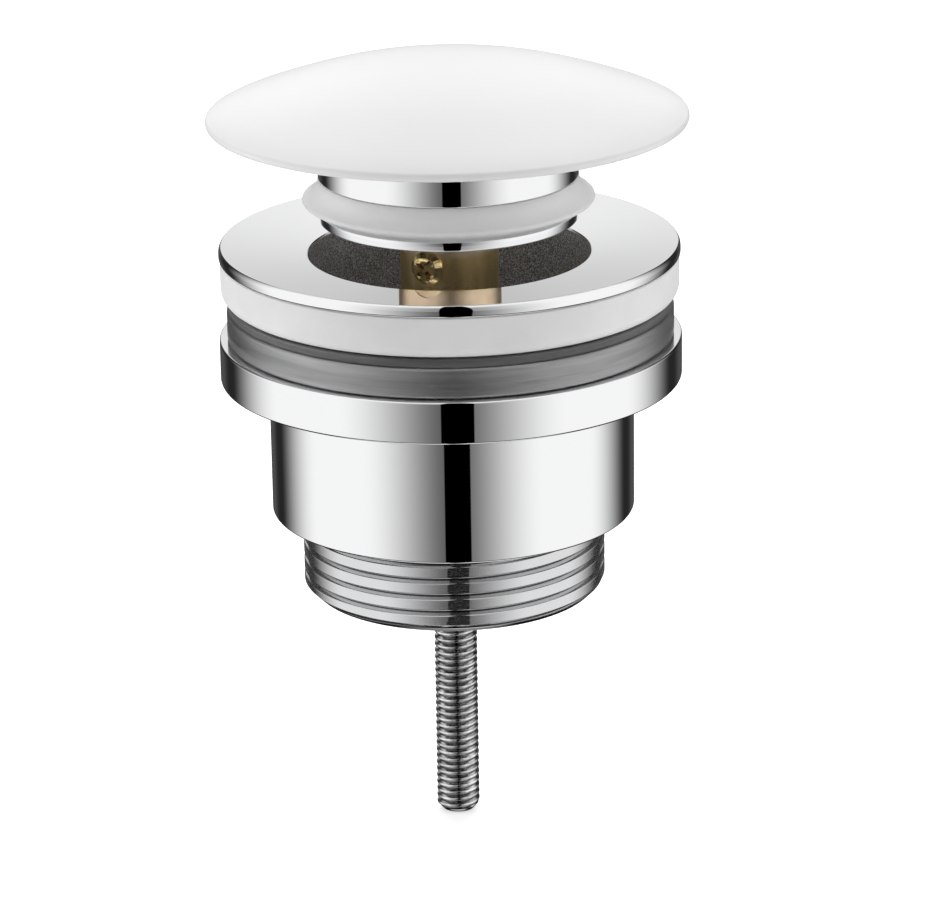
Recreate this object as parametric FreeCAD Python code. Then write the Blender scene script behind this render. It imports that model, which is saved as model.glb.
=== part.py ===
import FreeCAD, Part
import math
import os

from FreeCAD import Vector

# Basin waste with a press-to-open plug.
# Millimetres. +Z points up along the drain's axis. The origin is on that axis, in the plane
# where the upper gasket rests on the basin. The front of the object faces -Y.

# Ceramic cap
cap_dia = 65.4
cap_rise = 7.6
cap_rim_radius = 0.65
cap_rim_slope = 30.0
crown_power = 2.17
crown_shares = (0.3, 0.6, 0.85)
cap_above_flange = 17.45
cap_hollow_margin = 0.25
cap_hollow_rise = 1.0
cap_hollow_bulge = 0.72

# Plug cup, seal and retainer
cup_room = 1.55
cup_wall = 3.9
cup_plate = 2.4
cup_hub_wall = 2.6
spigot_gap = 0.6
seal_groove_depth = 1.9
seal_above_flange = 5.05
seal_height = 4.2
seal_nose_height = 1.2
seal_overlap = 0.65
seal_root_width = 1.93
seal_nose_radius = 0.35
seal_flank_lift = 0.5
seal_flank_start = 0.15
retainer_height = 1.75
retainer_chamfer = 0.45
retainer_grip_share = 0.7
seat_gap = 0.05

# Cover fixing
insert_dia = 16.4
insert_height = 4.2
insert_thread_dia = 10.0
insert_rim_dia = 19.0
insert_rim = 0.8
cushion_thickness = 0.6
cushion_inset = 1.0
cushion_bore_gap = 0.3

# Cartridge
sleeve_dia = 13.5
sleeve_bore_dia = 10.12
sleeve_below_flange = 6.8
sleeve_neck_dia = 12.0
sleeve_neck = 4.0
sleeve_roof = 1.9
spring_room = 12.6
core_dia = 10.0
core_hex = 12.0
core_hex_height = 3.4
core_thread_dia = 8.0
core_thread = 3.6
core_tip_dia = 4.6
core_tip = 3.5
core_crown = 2.7
sleeve_overtravel = 1.2
washer_thickness = 0.8
washer_bore_dia = 5.2
washer_margin = 0.25
fibre_thickness = 0.8
fibre_margin = 0.6
fibre_bore_gap = 0.15

# Cam track and guide screw
closing_depth = 1.9
lane_turn = 22.5
track_depth = 1.3
track_clearance = 0.25
track_overtravel = 1.5
pocket_share = 0.62
latch_rise = 0.35
return_rise = 0.4
guide_tip_dia = 1.6
guide_tip_gap = 0.25
guide_thread_margin = 0.1
guide_thread_dia = 2.5
guide_head_dia = 4.7
guide_head_height = 1.35
guide_head_edge = 0.45
guide_head_round = 0.35
guide_crown_share = 0.62
guide_crown_radius = 1.2
guide_below_flange = 1.3
guide_azimuth = 26.7
spot_face_depth = 0.3
spot_face_margin = 0.25
recess_width = 0.62
recess_span = 2.5
recess_depth = 0.8
recess_turn = 20.0

# Return spring
spring_wire = 0.8
spring_margin = 0.35
spring_turns = 3.0
spring_spans_per_turn = 3

# Top flange
flange_dia = 63.0
flange_rim = 1.6
flange_crest_inset = 0.37
flange_crest_radius = 0.2
flange_face_radius = 1.0
flange_dish = 1.44
hole_dia = 38.5
skirt_wall = 2.45
skirt_below_seat = 17.0
skirt_chamfer = 0.8
bridge_height = 3.6
bridge_arm = 4.2
bridge_hub_dia = 14.0
bridge_hub_below = 2.4
arm_count = 3
arm_bite = 0.5

# Upper gasket
gasket_height = 5.7
gasket_inset = 0.15
gasket_low_radius = 1.6
gasket_bore_gap = 0.3

# Lower packing
packing_gap = 0.2
packing_bore_gap = 0.4
lower_gasket_height = 1.2
lower_gasket_inset = 0.15
slip_height = 4.25
slip_inset = 1.1
slip_radius = 0.55
slip_lip_share = 0.6
mouth_gap = 0.3
ring_gap = 0.05

# Lower cup
ring_overhang = 0.2
ring_height = 5.8
mouth_width = 1.6
mouth_depth = 1.7
skirt_room = 0.7
body_wall = 2.7
body_height = 19.25
body_low_radius = 1.7
tail_dia = 41.91
tail_height = 11.4
tail_wall = 3.155
tail_chamfer = 1.3
tail_relief = 1.0
tail_relief_depth = 1.3
throat_height = 4.2
throat_slope = 0.75
cup_bridge_rise = 0.3
cup_hub_dia = 16.0
cup_hub_above = 1.4
cup_hub_below = 1.0
cup_arm = 4.4
cup_arm_height = 4.6

# Rod, bushing and nut
rod_dia = 6.0
rod_below_seat = 76.45
rod_end_gap = 0.3
rod_chamfer = 0.8
rod_fit = 0.05
bushing_dia = 10.0
bushing_rim_dia = 12.5
bushing_rim = 1.0
bushing_lip = 0.6
nut_across_flats = 10.0
nut_height = 5.0
nut_chamfer = 0.7
core_hex_chamfer = 0.5
hex_chamfer_slope = 0.6

# Fits between pieces that are screwed or pressed together
thread_gap = 0.02
face_gap = 0.02

# Roundings shared by the smaller edges, and how far a cut runs past its piece
fine_edge = 0.2
soft_edge = 0.3
full_edge = 0.6
corner_fillet = 0.8
cut_past = 1.0

# Diameters that follow from the sizes above
cup_dia = hole_dia - 2 * cup_room
seal_seat_dia = cup_dia - 2 * seal_groove_depth
seal_dia = hole_dia + 2 * seal_overlap
cap_hollow_dia = cup_dia + 2 * cap_hollow_margin
cushion_dia = cup_dia - 2 * cushion_inset
skirt_dia = hole_dia + 2 * skirt_wall
gasket_dia = flange_dia - 2 * gasket_inset
ring_dia = flange_dia + 2 * ring_overhang
slip_dia = ring_dia - 2 * slip_inset
lower_gasket_dia = slip_dia - 2 * lower_gasket_inset
body_bore_dia = skirt_dia + 2 * skirt_room
body_dia = body_bore_dia + 2 * body_wall
tail_bore_dia = tail_dia - 2 * tail_wall

# Levels that follow from the sizes above
press_travel = seal_above_flange + closing_depth
flange_under = gasket_height
flange_top = flange_under + flange_rim
hole_edge = flange_top - flange_dish
seal_low = flange_top + seal_above_flange
seal_top = seal_low + seal_height
cap_widest = flange_top + cap_above_flange
cap_under = cap_widest - cap_rim_radius + cap_hollow_rise
cup_top = cap_under - cushion_thickness - face_gap
cup_plate_low = cup_top - cup_plate
sleeve_low = flange_top - sleeve_below_flange
guide_level = flange_top - guide_below_flange
core_shoulder = guide_level + core_crown
roof_level = core_shoulder + spring_room
neck_low = roof_level + sleeve_roof - sleeve_neck
core_hex_top = sleeve_low - press_travel - sleeve_overtravel
core_hex_low = core_hex_top - core_hex_height
hub_top = core_hex_low - fibre_thickness - 2 * face_gap
skirt_low = -skirt_below_seat
bridge_low = skirt_low
hub_low = bridge_low - bridge_hub_below
rod_top = hub_top - core_thread - rod_end_gap
rod_low = -rod_below_seat
lower_gasket_top = -packing_gap
slip_top = lower_gasket_top - lower_gasket_height - face_gap
slip_low = slip_top - slip_height
ring_top = slip_low - ring_gap
ring_low = ring_top - ring_height
body_low = ring_low - body_height
tail_low = body_low - tail_height
cup_bridge_top = body_low + cup_bridge_rise
cup_bridge_low = cup_bridge_top - cup_arm_height
cup_hub_top = cup_bridge_top + cup_hub_above
cup_hub_low = cup_bridge_low - cup_hub_below

Z_AXIS = Vector(0, 0, 1)


def point(r, z):
    """A point of a half section, at radius r and height z."""
    return Vector(r, 0, z)


def revolve(edges):
    """The solid of revolution about Z of a closed half section."""
    face = Part.Face(Part.Wire(edges))
    return face.revolve(Vector(0, 0, 0), Z_AXIS, 360)


def outline(corners):
    """Edges of a closed half section. Each corner is (r, z) or (r, z, rounding radius)."""
    count = len(corners)
    starts = []
    ends = []
    arcs = []
    for i in range(count):
        here = point(corners[i][0], corners[i][1])
        radius = corners[i][2] if len(corners[i]) > 2 else 0
        before = point(corners[i - 1][0], corners[i - 1][1])
        after = point(corners[(i + 1) % count][0], corners[(i + 1) % count][1])
        to_before = (before - here).normalize()
        to_after = (after - here).normalize()
        if radius <= 0:
            starts.append(here)
            ends.append(here)
            arcs.append(None)
            continue
        half = to_before.getAngle(to_after) / 2
        reach = radius / math.tan(half)
        first = here + to_before * reach
        last = here + to_after * reach
        middle_way = (to_before + to_after).normalize()
        centre = here + middle_way * (radius / math.sin(half))
        middle = centre - middle_way * radius
        starts.append(first)
        ends.append(last)
        arcs.append(Part.Arc(first, middle, last).toShape())
    edges = []
    for i in range(count):
        if arcs[i]:
            edges.append(arcs[i])
        following = starts[(i + 1) % count]
        if (following - ends[i]).Length > 1e-6:
            edges.append(Part.LineSegment(ends[i], following).toShape())
    return edges


def turned(corners):
    """A turned piece from the corners of its half section."""
    return revolve(outline(corners))


def disc(dia, low, high):
    """An upright cylinder between two levels."""
    return Part.makeCylinder(dia / 2, high - low, Vector(0, 0, low))


def hexagon(across_flats, low, high):
    """An upright hexagonal prism between two levels."""
    corner = across_flats / math.sqrt(3)
    turns = [math.radians(60 * i) for i in range(7)]
    ring = [Vector(corner * math.cos(t), corner * math.sin(t), low) for t in turns]
    return Part.Face(Part.makePolygon(ring)).extrude(Vector(0, 0, high - low))


def chamfered_hexagon(across_flats, low, high, chamfer):
    """A hexagonal prism whose corners are turned off at both ends."""
    corner = across_flats / math.sqrt(3)
    blank = turned([
        (0, low),
        (corner - chamfer, low),
        (corner + thread_gap, low + chamfer * hex_chamfer_slope),
        (corner + thread_gap, high - chamfer * hex_chamfer_slope),
        (corner - chamfer, high),
        (0, high),
    ])
    return hexagon(across_flats, low, high).common(blank)


def spider(outer_dia, width, low, high):
    """Straight arms from the axis out to a diameter, evenly spaced, the first one at the back."""
    arms = []
    for i in range(arm_count):
        arm = Part.makeBox(outer_dia / 2, width, high - low, Vector(0, -width / 2, low))
        long_edges = [e for e in arm.Edges if abs(e.Length - outer_dia / 2) < 1e-6]
        arm = arm.makeFillet(full_edge, long_edges)
        arm.rotate(Vector(0, 0, 0), Z_AXIS, 90 + 360 / arm_count * i)
        arms.append(arm)
    return arms[0].multiFuse(arms[1:])


def ceramic_cap():
    """Mushroom-shaped cover: a crowned top that falls away to a thin rounded rim."""
    rim_r = cap_dia / 2
    nose = cap_rim_radius
    apex = point(0, cap_widest + cap_rise)
    rim_slope = math.radians(cap_rim_slope)
    nose_centre = point(rim_r - nose, cap_widest)
    rim_top = nose_centre + point(nose * math.sin(rim_slope), nose * math.cos(rim_slope))
    rim_out = point(rim_r, cap_widest)
    rim_low = nose_centre - point(0, nose)
    crown_height = apex.z - rim_top.z
    crown_points = [apex]
    for share in crown_shares:
        crown_points.append(point(rim_top.x * share, rim_top.z + crown_height * (1 - share ** crown_power)))
    crown = Part.BSplineCurve()
    down_slope = point(math.cos(rim_slope), -math.sin(rim_slope))
    crown.interpolate(Points=crown_points + [rim_top], InitialTangent=point(1, 0), FinalTangent=down_slope)
    edges = [
        crown.toShape(),
        Part.Arc(rim_top, rim_out, rim_low).toShape(),
    ]
    hollow_r = cap_hollow_dia / 2
    inner = point(hollow_r, cap_under)
    middle = point((rim_low.x + hollow_r) / 2, rim_low.z + cap_hollow_rise * cap_hollow_bulge)
    edges.append(Part.Arc(rim_low, middle, inner).toShape())
    socket_r = insert_dia / 2 + thread_gap
    rim_socket_r = insert_rim_dia / 2 + thread_gap
    socket_floor = cap_under + insert_rim + insert_height + face_gap
    socket = [
        inner,
        point(rim_socket_r, cap_under),
        point(rim_socket_r, cap_under + insert_rim + face_gap),
        point(socket_r, cap_under + insert_rim + face_gap),
        point(socket_r, socket_floor),
        point(0, socket_floor),
        apex,
    ]
    for start, end in zip(socket, socket[1:]):
        edges.append(Part.LineSegment(start, end).toShape())
    return revolve(edges)


def cap_insert():
    """Brass bush bonded into the cover's socket, with a rim that bears on the cushion."""
    low = cap_under
    top = low + insert_rim + insert_height
    bore_r = insert_thread_dia / 2 + thread_gap
    return turned([
        (bore_r, low),
        (insert_rim_dia / 2, low),
        (insert_rim_dia / 2, low + insert_rim),
        (insert_dia / 2, low + insert_rim),
        (insert_dia / 2, top, soft_edge),
        (bore_r, top),
    ])


def cap_cushion():
    """Thin silicone washer between the ceramic and the metal cup."""
    low = cup_top + face_gap / 2
    high = cap_under - face_gap / 2
    inner_r = insert_thread_dia / 2 + cushion_bore_gap
    return turned([
        (inner_r, low),
        (cushion_dia / 2, low, fine_edge),
        (cushion_dia / 2, high, fine_edge),
        (inner_r, high),
    ])


def plug_cup():
    """Turned cup: plate, skirt with the seal's seat, hub for the cartridge and spigot for the cover."""
    outer_r = cup_dia / 2
    seat_r = seal_seat_dia / 2
    inner_r = outer_r - cup_wall
    skirt_foot = seal_low - retainer_height * retainer_grip_share
    hub_r = sleeve_neck_dia / 2 + cup_hub_wall
    hub_foot = neck_low
    bore_r = sleeve_neck_dia / 2 + thread_gap
    bore_top = roof_level + sleeve_roof + face_gap
    spigot_r = insert_thread_dia / 2
    spigot_top = cap_under + insert_rim + insert_height - spigot_gap
    return turned([
        (0, bore_top),
        (bore_r, bore_top),
        (bore_r, hub_foot),
        (hub_r, hub_foot, soft_edge),
        (hub_r, cup_plate_low, corner_fillet),
        (inner_r, cup_plate_low, corner_fillet),
        (inner_r, skirt_foot),
        (seat_r, skirt_foot, fine_edge),
        (seat_r, seal_top + seat_gap),
        (outer_r, seal_top + seat_gap, fine_edge),
        (outer_r, cup_top, soft_edge),
        (spigot_r, cup_top),
        (spigot_r, spigot_top, full_edge),
        (0, spigot_top),
    ])


def plug_seal():
    """Silicone ring with a thin lip, hollow above, that closes on the edge of the flange's hole."""
    root_r = seal_seat_dia / 2 + thread_gap
    shoulder_r = root_r + seal_root_width
    nose = point(seal_dia / 2, seal_low + seal_nose_height)
    lip_top = nose + point(-seal_nose_radius, seal_nose_radius)
    lip_low = nose + point(-seal_nose_radius, -seal_nose_radius)
    top = point(shoulder_r, seal_top)
    foot = point(shoulder_r, seal_low)
    upper = Part.BezierCurve()
    upper.setPoles([top, point(shoulder_r + seal_flank_start, lip_top.z + seal_flank_lift), lip_top])
    lower = Part.BezierCurve()
    lower.setPoles([lip_low, point((lip_low.x + foot.x) / 2, seal_low + seal_nose_radius), foot])
    edges = [upper.toShape(), Part.Arc(lip_top, nose, lip_low).toShape(), lower.toShape()]
    root = [foot, point(root_r, seal_low), point(root_r, seal_top), top]
    for start, end in zip(root, root[1:]):
        edges.append(Part.LineSegment(start, end).toShape())
    return revolve(edges)


def seal_retainer():
    """Ring screwed on the cup's foot, chamfered above, that holds the seal."""
    inner_r = seal_seat_dia / 2 + thread_gap
    outer_r = cup_dia / 2
    top = seal_low - face_gap
    low = top - retainer_height
    return turned([
        (inner_r, low + soft_edge),
        (inner_r + soft_edge, low),
        (outer_r, low, soft_edge),
        (outer_r, top - retainer_chamfer),
        (outer_r - retainer_chamfer, top),
        (inner_r, top),
    ])


def guide_turned(corners):
    """A piece turned about the guide screw's axis, which points out from the drain's axis."""
    piece = turned([(r, reach) + tuple(rest) for r, reach, *rest in corners])
    piece.rotate(Vector(0, 0, 0), Vector(0, 1, 0), 90)
    return to_guide(piece)


def to_guide(piece):
    """Bring a piece from the +X axis to the guide screw's azimuth and level."""
    piece.rotate(Vector(0, 0, 0), Z_AXIS, -90 - guide_azimuth)
    piece.translate(Vector(0, 0, guide_level))
    return piece


def cartridge_sleeve():
    """Brass sleeve with a blind bore over the core, a threaded neck and the guide screw's hole."""
    outer_r = sleeve_dia / 2
    bore_r = sleeve_bore_dia / 2
    neck_r = sleeve_neck_dia / 2
    top = roof_level + sleeve_roof
    shell = turned([
        (bore_r, sleeve_low),
        (outer_r, sleeve_low, soft_edge),
        (outer_r, neck_low - face_gap, fine_edge),
        (neck_r, neck_low - face_gap),
        (neck_r, top, full_edge),
        (0, top),
        (0, roof_level),
        (bore_r, roof_level),
    ])
    face_r = outer_r - spot_face_depth
    hole = guide_turned([
        (0, bore_r / 2),
        (guide_thread_dia / 2 + thread_gap, bore_r / 2),
        (guide_thread_dia / 2 + thread_gap, face_r),
        (guide_head_dia / 2 + spot_face_margin, face_r),
        (guide_head_dia / 2 + spot_face_margin, outer_r + cut_past),
        (0, outer_r + cut_past),
    ])
    return shell.cut(hole)


def guide_screw():
    """Cross-recess pan head screw. Its turned-down tip runs in the core's cam track."""
    seat = sleeve_dia / 2 - spot_face_depth + face_gap
    top = sleeve_dia / 2 - spot_face_depth + guide_head_height
    tip_reach = core_dia / 2 - track_depth + guide_tip_gap
    thread_start = sleeve_bore_dia / 2 + guide_thread_margin
    tip_r = guide_tip_dia / 2
    thread_r = guide_thread_dia / 2
    head_r = guide_head_dia / 2
    profile = [
        (0, tip_reach),
        (tip_r, tip_reach, fine_edge),
        (tip_r, thread_start),
        (thread_r, thread_start),
        (thread_r, seat),
        (head_r, seat),
        (head_r, seat + guide_head_edge, guide_head_round),
        (head_r * guide_crown_share, top, guide_crown_radius),
        (0, top),
    ]
    screw = guide_turned(profile)
    span = Part.makeBox(recess_depth + cut_past, recess_span, recess_width,
                        Vector(top - recess_depth, -recess_span / 2, -recess_width / 2))
    cross = span.copy()
    cross.rotate(Vector(0, 0, 0), Vector(1, 0, 0), 90)
    recess = span.fuse(cross)
    recess.rotate(Vector(0, 0, 0), Vector(1, 0, 0), recess_turn)
    return screw.cut(to_guide(recess))


def spring_washer():
    """Steel washer between the spring and the sleeve's roof."""
    top = roof_level - seat_gap
    low = top - washer_thickness
    outer_r = sleeve_bore_dia / 2 - washer_margin
    return turned([
        (washer_bore_dia / 2, low, fine_edge),
        (outer_r, low, fine_edge),
        (outer_r, top, fine_edge),
        (washer_bore_dia / 2, top, fine_edge),
    ])


def return_spring():
    """Open coil spring from the core's shoulder up to the washer, swept in short spans."""
    low = core_shoulder + spring_wire / 2 + face_gap
    high = roof_level - seat_gap - washer_thickness - spring_wire / 2 - face_gap
    coil_r = sleeve_bore_dia / 2 - spring_margin - spring_wire / 2
    rise = (high - low) / spring_turns
    coil = Part.makeHelix(rise, high - low, coil_r).Edges[0]
    first, last = coil.ParameterRange
    spans = math.ceil(spring_turns * spring_spans_per_turn)
    path = coil.split([first + (last - first) * step / spans for step in range(1, spans)])
    path.translate(Vector(0, 0, low))
    along = Vector(0, 2 * math.pi * coil_r, rise)
    section = Part.Wire(Part.makeCircle(spring_wire / 2, Vector(coil_r, 0, low), along))
    return path.makePipeShell([section], True, True)


def track_lane(start, end, half_width):
    """Cutter for one straight lane of the cam track, square to the guide's azimuth."""
    reach = core_dia
    (y0, z0), (y1, z1) = start, end
    run = math.hypot(y1 - y0, z1 - z0)
    lane = Part.makeBox(reach, run, 2 * half_width, Vector(0, 0, -half_width))
    lane.rotate(Vector(0, 0, 0), Vector(1, 0, 0), math.degrees(math.atan2(z1 - z0, y1 - y0)))
    lane.translate(Vector(0, y0, z0))
    ends = []
    for y, z in (start, end):
        ends.append(Part.makeCylinder(half_width, reach, Vector(0, y, z), Vector(1, 0, 0)))
    return lane.multiFuse(ends)


def cam_track():
    """Heart-shaped loop: a lane down, a latch pocket under the island, and a lane back up."""
    half_width = guide_tip_dia / 2 + track_clearance
    tip_middle = core_dia / 2 - (track_depth - guide_tip_gap) / 2
    side = tip_middle * math.sin(math.radians(lane_turn))
    pressed = -press_travel
    bottom = pressed - track_overtravel
    route = [
        (0, 0),
        (-side, pressed),
        (-side * pocket_share, bottom),
        (0, pressed - latch_rise),
        (side * pocket_share, bottom),
        (side, pressed + return_rise),
        (0, 0),
    ]
    lanes = []
    for start, end in zip(route, route[1:]):
        lanes.append(track_lane(start, end, half_width))
    loop = to_guide(lanes[0].multiFuse(lanes[1:]))
    core_r = core_dia / 2
    low = guide_level + bottom - 2 * half_width
    high = guide_level + 2 * half_width
    band = disc(core_dia + 2 * cut_past, low, high).cut(disc(2 * (core_r - track_depth), low, high))
    return loop.common(band)


def cam_core():
    """Brass post with hexagon, threaded foot, spring spindle and the cam track."""
    post_r = core_dia / 2
    foot_low = hub_top - core_thread
    tip_r = core_tip_dia / 2
    foot_r = core_thread_dia / 2
    post = turned([
        (0, foot_low),
        (foot_r, foot_low, full_edge),
        (foot_r, core_hex_low),
        (post_r, core_hex_low),
        (post_r, core_shoulder, soft_edge),
        (tip_r, core_shoulder),
        (tip_r, core_shoulder + core_tip, full_edge),
        (0, core_shoulder + core_tip),
    ])
    nut = chamfered_hexagon(core_hex, core_hex_low, core_hex_top, core_hex_chamfer)
    return post.fuse(nut).removeSplitter().cut(cam_track())


def core_washer():
    """Fibre washer between the core's hexagon and the bridge."""
    low = hub_top + face_gap
    high = core_hex_low - face_gap
    inner_r = core_thread_dia / 2 + fibre_bore_gap
    outer_r = bridge_hub_dia / 2 - fibre_margin
    return turned([
        (inner_r, low),
        (outer_r, low, fine_edge),
        (outer_r, high, fine_edge),
        (inner_r, high),
    ])


def top_flange():
    """Dished flange with a crested rim, a skirt and a bridge that carries core and rod."""
    rim_r = flange_dia / 2
    hole_r = hole_dia / 2
    skirt_r = skirt_dia / 2
    shell = turned([
        (hole_r, skirt_low),
        (skirt_r - skirt_chamfer, skirt_low),
        (skirt_r, skirt_low + skirt_chamfer),
        (skirt_r, flange_under, fine_edge),
        (rim_r, flange_under, soft_edge),
        (rim_r, flange_top - flange_crest_inset, flange_face_radius),
        (rim_r - flange_crest_inset, flange_top, flange_crest_radius),
        (hole_r, hole_edge, soft_edge),
    ])
    bridge = spider(hole_dia + 2 * arm_bite, bridge_arm, bridge_low, bridge_low + bridge_height)
    hub = turned([
        (0, hub_low),
        (bridge_hub_dia / 2, hub_low, full_edge),
        (bridge_hub_dia / 2, hub_top, full_edge),
        (0, hub_top),
    ])
    body = shell.multiFuse([bridge, hub]).removeSplitter()
    core_hole = disc(core_thread_dia + 2 * thread_gap, hub_top - core_thread - face_gap, hub_top + cut_past)
    rod_hole = disc(rod_dia + 2 * thread_gap, hub_low - cut_past, hub_top - core_thread)
    return body.cut(core_hole.fuse(rod_hole))


def upper_gasket():
    """Thick white ring between the flange and the basin."""
    inner_r = skirt_dia / 2 + gasket_bore_gap
    outer_r = gasket_dia / 2
    top = flange_under - face_gap
    return turned([
        (inner_r, 0, soft_edge),
        (outer_r, 0, gasket_low_radius),
        (outer_r, top, soft_edge),
        (inner_r, top),
    ])


def lower_gasket():
    """Soft translucent ring that meets the basin's underside."""
    inner_r = skirt_dia / 2 + packing_bore_gap
    low = lower_gasket_top - lower_gasket_height
    return turned([
        (inner_r, low),
        (lower_gasket_dia / 2, low, soft_edge),
        (lower_gasket_dia / 2, lower_gasket_top, soft_edge),
        (inner_r, lower_gasket_top),
    ])


def slip_washer():
    """Clear hard ring on the clamp ring, with a lip that centres it in the cup's mouth."""
    inner_r = skirt_dia / 2 + packing_bore_gap
    mouth_r = body_bore_dia / 2 + mouth_width
    lip_r = mouth_r - mouth_gap
    lip_foot_r = lip_r - mouth_width * slip_lip_share
    lip_foot = slip_low - mouth_depth * slip_lip_share
    return turned([
        (inner_r, lip_foot),
        (lip_foot_r, lip_foot),
        (lip_r, slip_low),
        (slip_dia / 2, slip_low, slip_radius),
        (slip_dia / 2, slip_top, slip_radius),
        (inner_r, slip_top),
    ])


def lower_cup():
    """Clamp ring, body and threaded tail in one piece, with a bridge for the rod's bushing."""
    ring_r = ring_dia / 2
    body_r = body_dia / 2
    bore_r = body_bore_dia / 2
    tail_r = tail_dia / 2
    tail_bore_r = tail_bore_dia / 2
    relief_r = tail_r - tail_relief_depth
    throat_top = body_low + throat_height
    throat_low = throat_top - (bore_r - tail_bore_r) * throat_slope
    shell = turned([
        (bore_r, ring_top - mouth_depth),
        (bore_r + mouth_width, ring_top),
        (ring_r, ring_top, soft_edge),
        (ring_r, ring_low, soft_edge),
        (body_r, ring_low, soft_edge),
        (body_r, body_low, body_low_radius),
        (relief_r, body_low),
        (relief_r, body_low - tail_relief),
        (tail_r, body_low - tail_relief - tail_relief_depth / 2),
        (tail_r, tail_low + tail_chamfer),
        (tail_r - tail_chamfer, tail_low),
        (tail_bore_r + full_edge, tail_low),
        (tail_bore_r, tail_low + full_edge),
        (tail_bore_r, throat_low),
        (bore_r, throat_top),
    ])
    bridge = spider(tail_bore_dia + 2 * arm_bite, cup_arm, cup_bridge_low, cup_bridge_top)
    hub = turned([
        (0, cup_hub_low),
        (cup_hub_dia / 2, cup_hub_low, corner_fillet),
        (cup_hub_dia / 2, cup_hub_top, corner_fillet),
        (0, cup_hub_top),
    ])
    body = shell.multiFuse([bridge, hub]).removeSplitter()
    bush_hole = disc(bushing_dia + 2 * thread_gap, cup_hub_low - cut_past, cup_hub_top + cut_past)
    return body.cut(bush_hole)


def rod_bushing():
    """Brass insert with the rod's thread, pressed in from above against its rim."""
    bore_r = rod_dia / 2 + rod_fit
    low = cup_hub_low - bushing_lip
    seat = cup_hub_top + face_gap
    return turned([
        (bore_r + soft_edge, low),
        (bushing_dia / 2, low, soft_edge),
        (bushing_dia / 2, seat),
        (bushing_rim_dia / 2, seat),
        (bushing_rim_dia / 2, seat + bushing_rim, soft_edge),
        (bore_r + soft_edge, seat + bushing_rim),
        (bore_r, seat + bushing_rim - soft_edge),
        (bore_r, low + soft_edge),
    ])


def threaded_rod():
    """Rod at its thread's outer diameter, chamfered at both ends."""
    radius = rod_dia / 2
    return turned([
        (0, rod_low),
        (radius - rod_chamfer, rod_low),
        (radius, rod_low + rod_chamfer),
        (radius, rod_top - rod_chamfer),
        (radius - rod_chamfer, rod_top),
        (0, rod_top),
    ])


def rod_lock_nut():
    """Hexagon nut that locks the rod against the bridge's hub."""
    high = hub_low - face_gap
    low = high - nut_height
    nut = chamfered_hexagon(nut_across_flats, low, high, nut_chamfer)
    return nut.cut(disc(rod_dia + 2 * thread_gap, low - cut_past, high + cut_past))


PIECES = [
    ceramic_cap,
    cap_insert,
    cap_cushion,
    plug_cup,
    plug_seal,
    seal_retainer,
    cartridge_sleeve,
    guide_screw,
    spring_washer,
    return_spring,
    cam_core,
    core_washer,
    top_flange,
    upper_gasket,
    lower_gasket,
    slip_washer,
    lower_cup,
    rod_bushing,
    threaded_rod,
    rod_lock_nut,
]

os.makedirs("parts", exist_ok=True)
for piece in PIECES:
    shape = piece()
    shape.exportStep("parts/" + piece.__name__ + ".step")
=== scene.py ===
import logging
import math
from dataclasses import dataclass
from enum import Enum
from typing import Callable, Optional, Sequence

import bmesh
import bpy
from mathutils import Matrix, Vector


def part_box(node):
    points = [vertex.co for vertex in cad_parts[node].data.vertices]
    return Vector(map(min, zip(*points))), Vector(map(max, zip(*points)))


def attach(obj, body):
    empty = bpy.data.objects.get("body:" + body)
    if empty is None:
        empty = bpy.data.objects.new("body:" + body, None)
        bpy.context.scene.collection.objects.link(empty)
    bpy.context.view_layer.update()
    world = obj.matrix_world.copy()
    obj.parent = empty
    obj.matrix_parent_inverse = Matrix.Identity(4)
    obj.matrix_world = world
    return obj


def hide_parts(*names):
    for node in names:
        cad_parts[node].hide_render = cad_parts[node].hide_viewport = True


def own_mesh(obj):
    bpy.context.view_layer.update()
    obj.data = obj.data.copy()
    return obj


# A press-to-open basin waste: white ceramic cover, chromed flange and cup, rubber and silicone
# seals, a brass cartridge and a zinc-plated rod. Metres, +Z up, the drain's axis on Z,
# the front faces -Y.

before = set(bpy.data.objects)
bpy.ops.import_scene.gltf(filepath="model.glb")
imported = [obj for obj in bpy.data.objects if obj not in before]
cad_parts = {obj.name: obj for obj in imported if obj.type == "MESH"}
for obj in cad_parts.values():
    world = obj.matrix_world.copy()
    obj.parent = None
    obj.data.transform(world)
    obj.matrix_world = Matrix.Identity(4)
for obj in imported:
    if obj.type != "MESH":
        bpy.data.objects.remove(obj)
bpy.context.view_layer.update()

log = logging.getLogger("basin_waste")

MM = 0.001
WELD = 1e-7
NEAR = 2e-6
TURN = 2 * math.pi
FINE_STEPS = 256
SMALL_STEPS = 128

# How far a cutting piece stands proud of what it cuts.
SPARE = 1 * MM

# Light under a surface spreads equally far in red, green and blue.
EVEN_SPREAD = Vector((1, 1, 1))

Socket = bpy.types.NodeSocket
Colour = tuple[float, float, float]


def low(node: str) -> float:
    """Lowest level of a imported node."""
    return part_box(node)[0].z


def high(node: str) -> float:
    """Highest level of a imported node."""
    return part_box(node)[1].z


def reach(node: str) -> float:
    """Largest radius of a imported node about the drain's axis."""
    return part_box(node)[1].x


def tone(value: float) -> float:
    """The linear light of a display value from 0 to 1.

    Args:
        value: Display value, where 0 is black and 1 is white.

    Returns:
        The same grey as scene light.
    """
    return value / 12.92 if value <= 0.04045 else ((value + 0.055) / 1.055) ** 2.4


def grey(value: float) -> Colour:
    """The grey of a display value as scene light."""
    return (tone(value),) * 3


def dim(colour: Colour, share: float) -> Colour:
    """A colour with a share of its light left."""
    return tuple(value * share for value in colour)


class Side(Enum):
    """How a turned section closes."""

    RING = "ring"
    SOLID = "solid"


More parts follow.
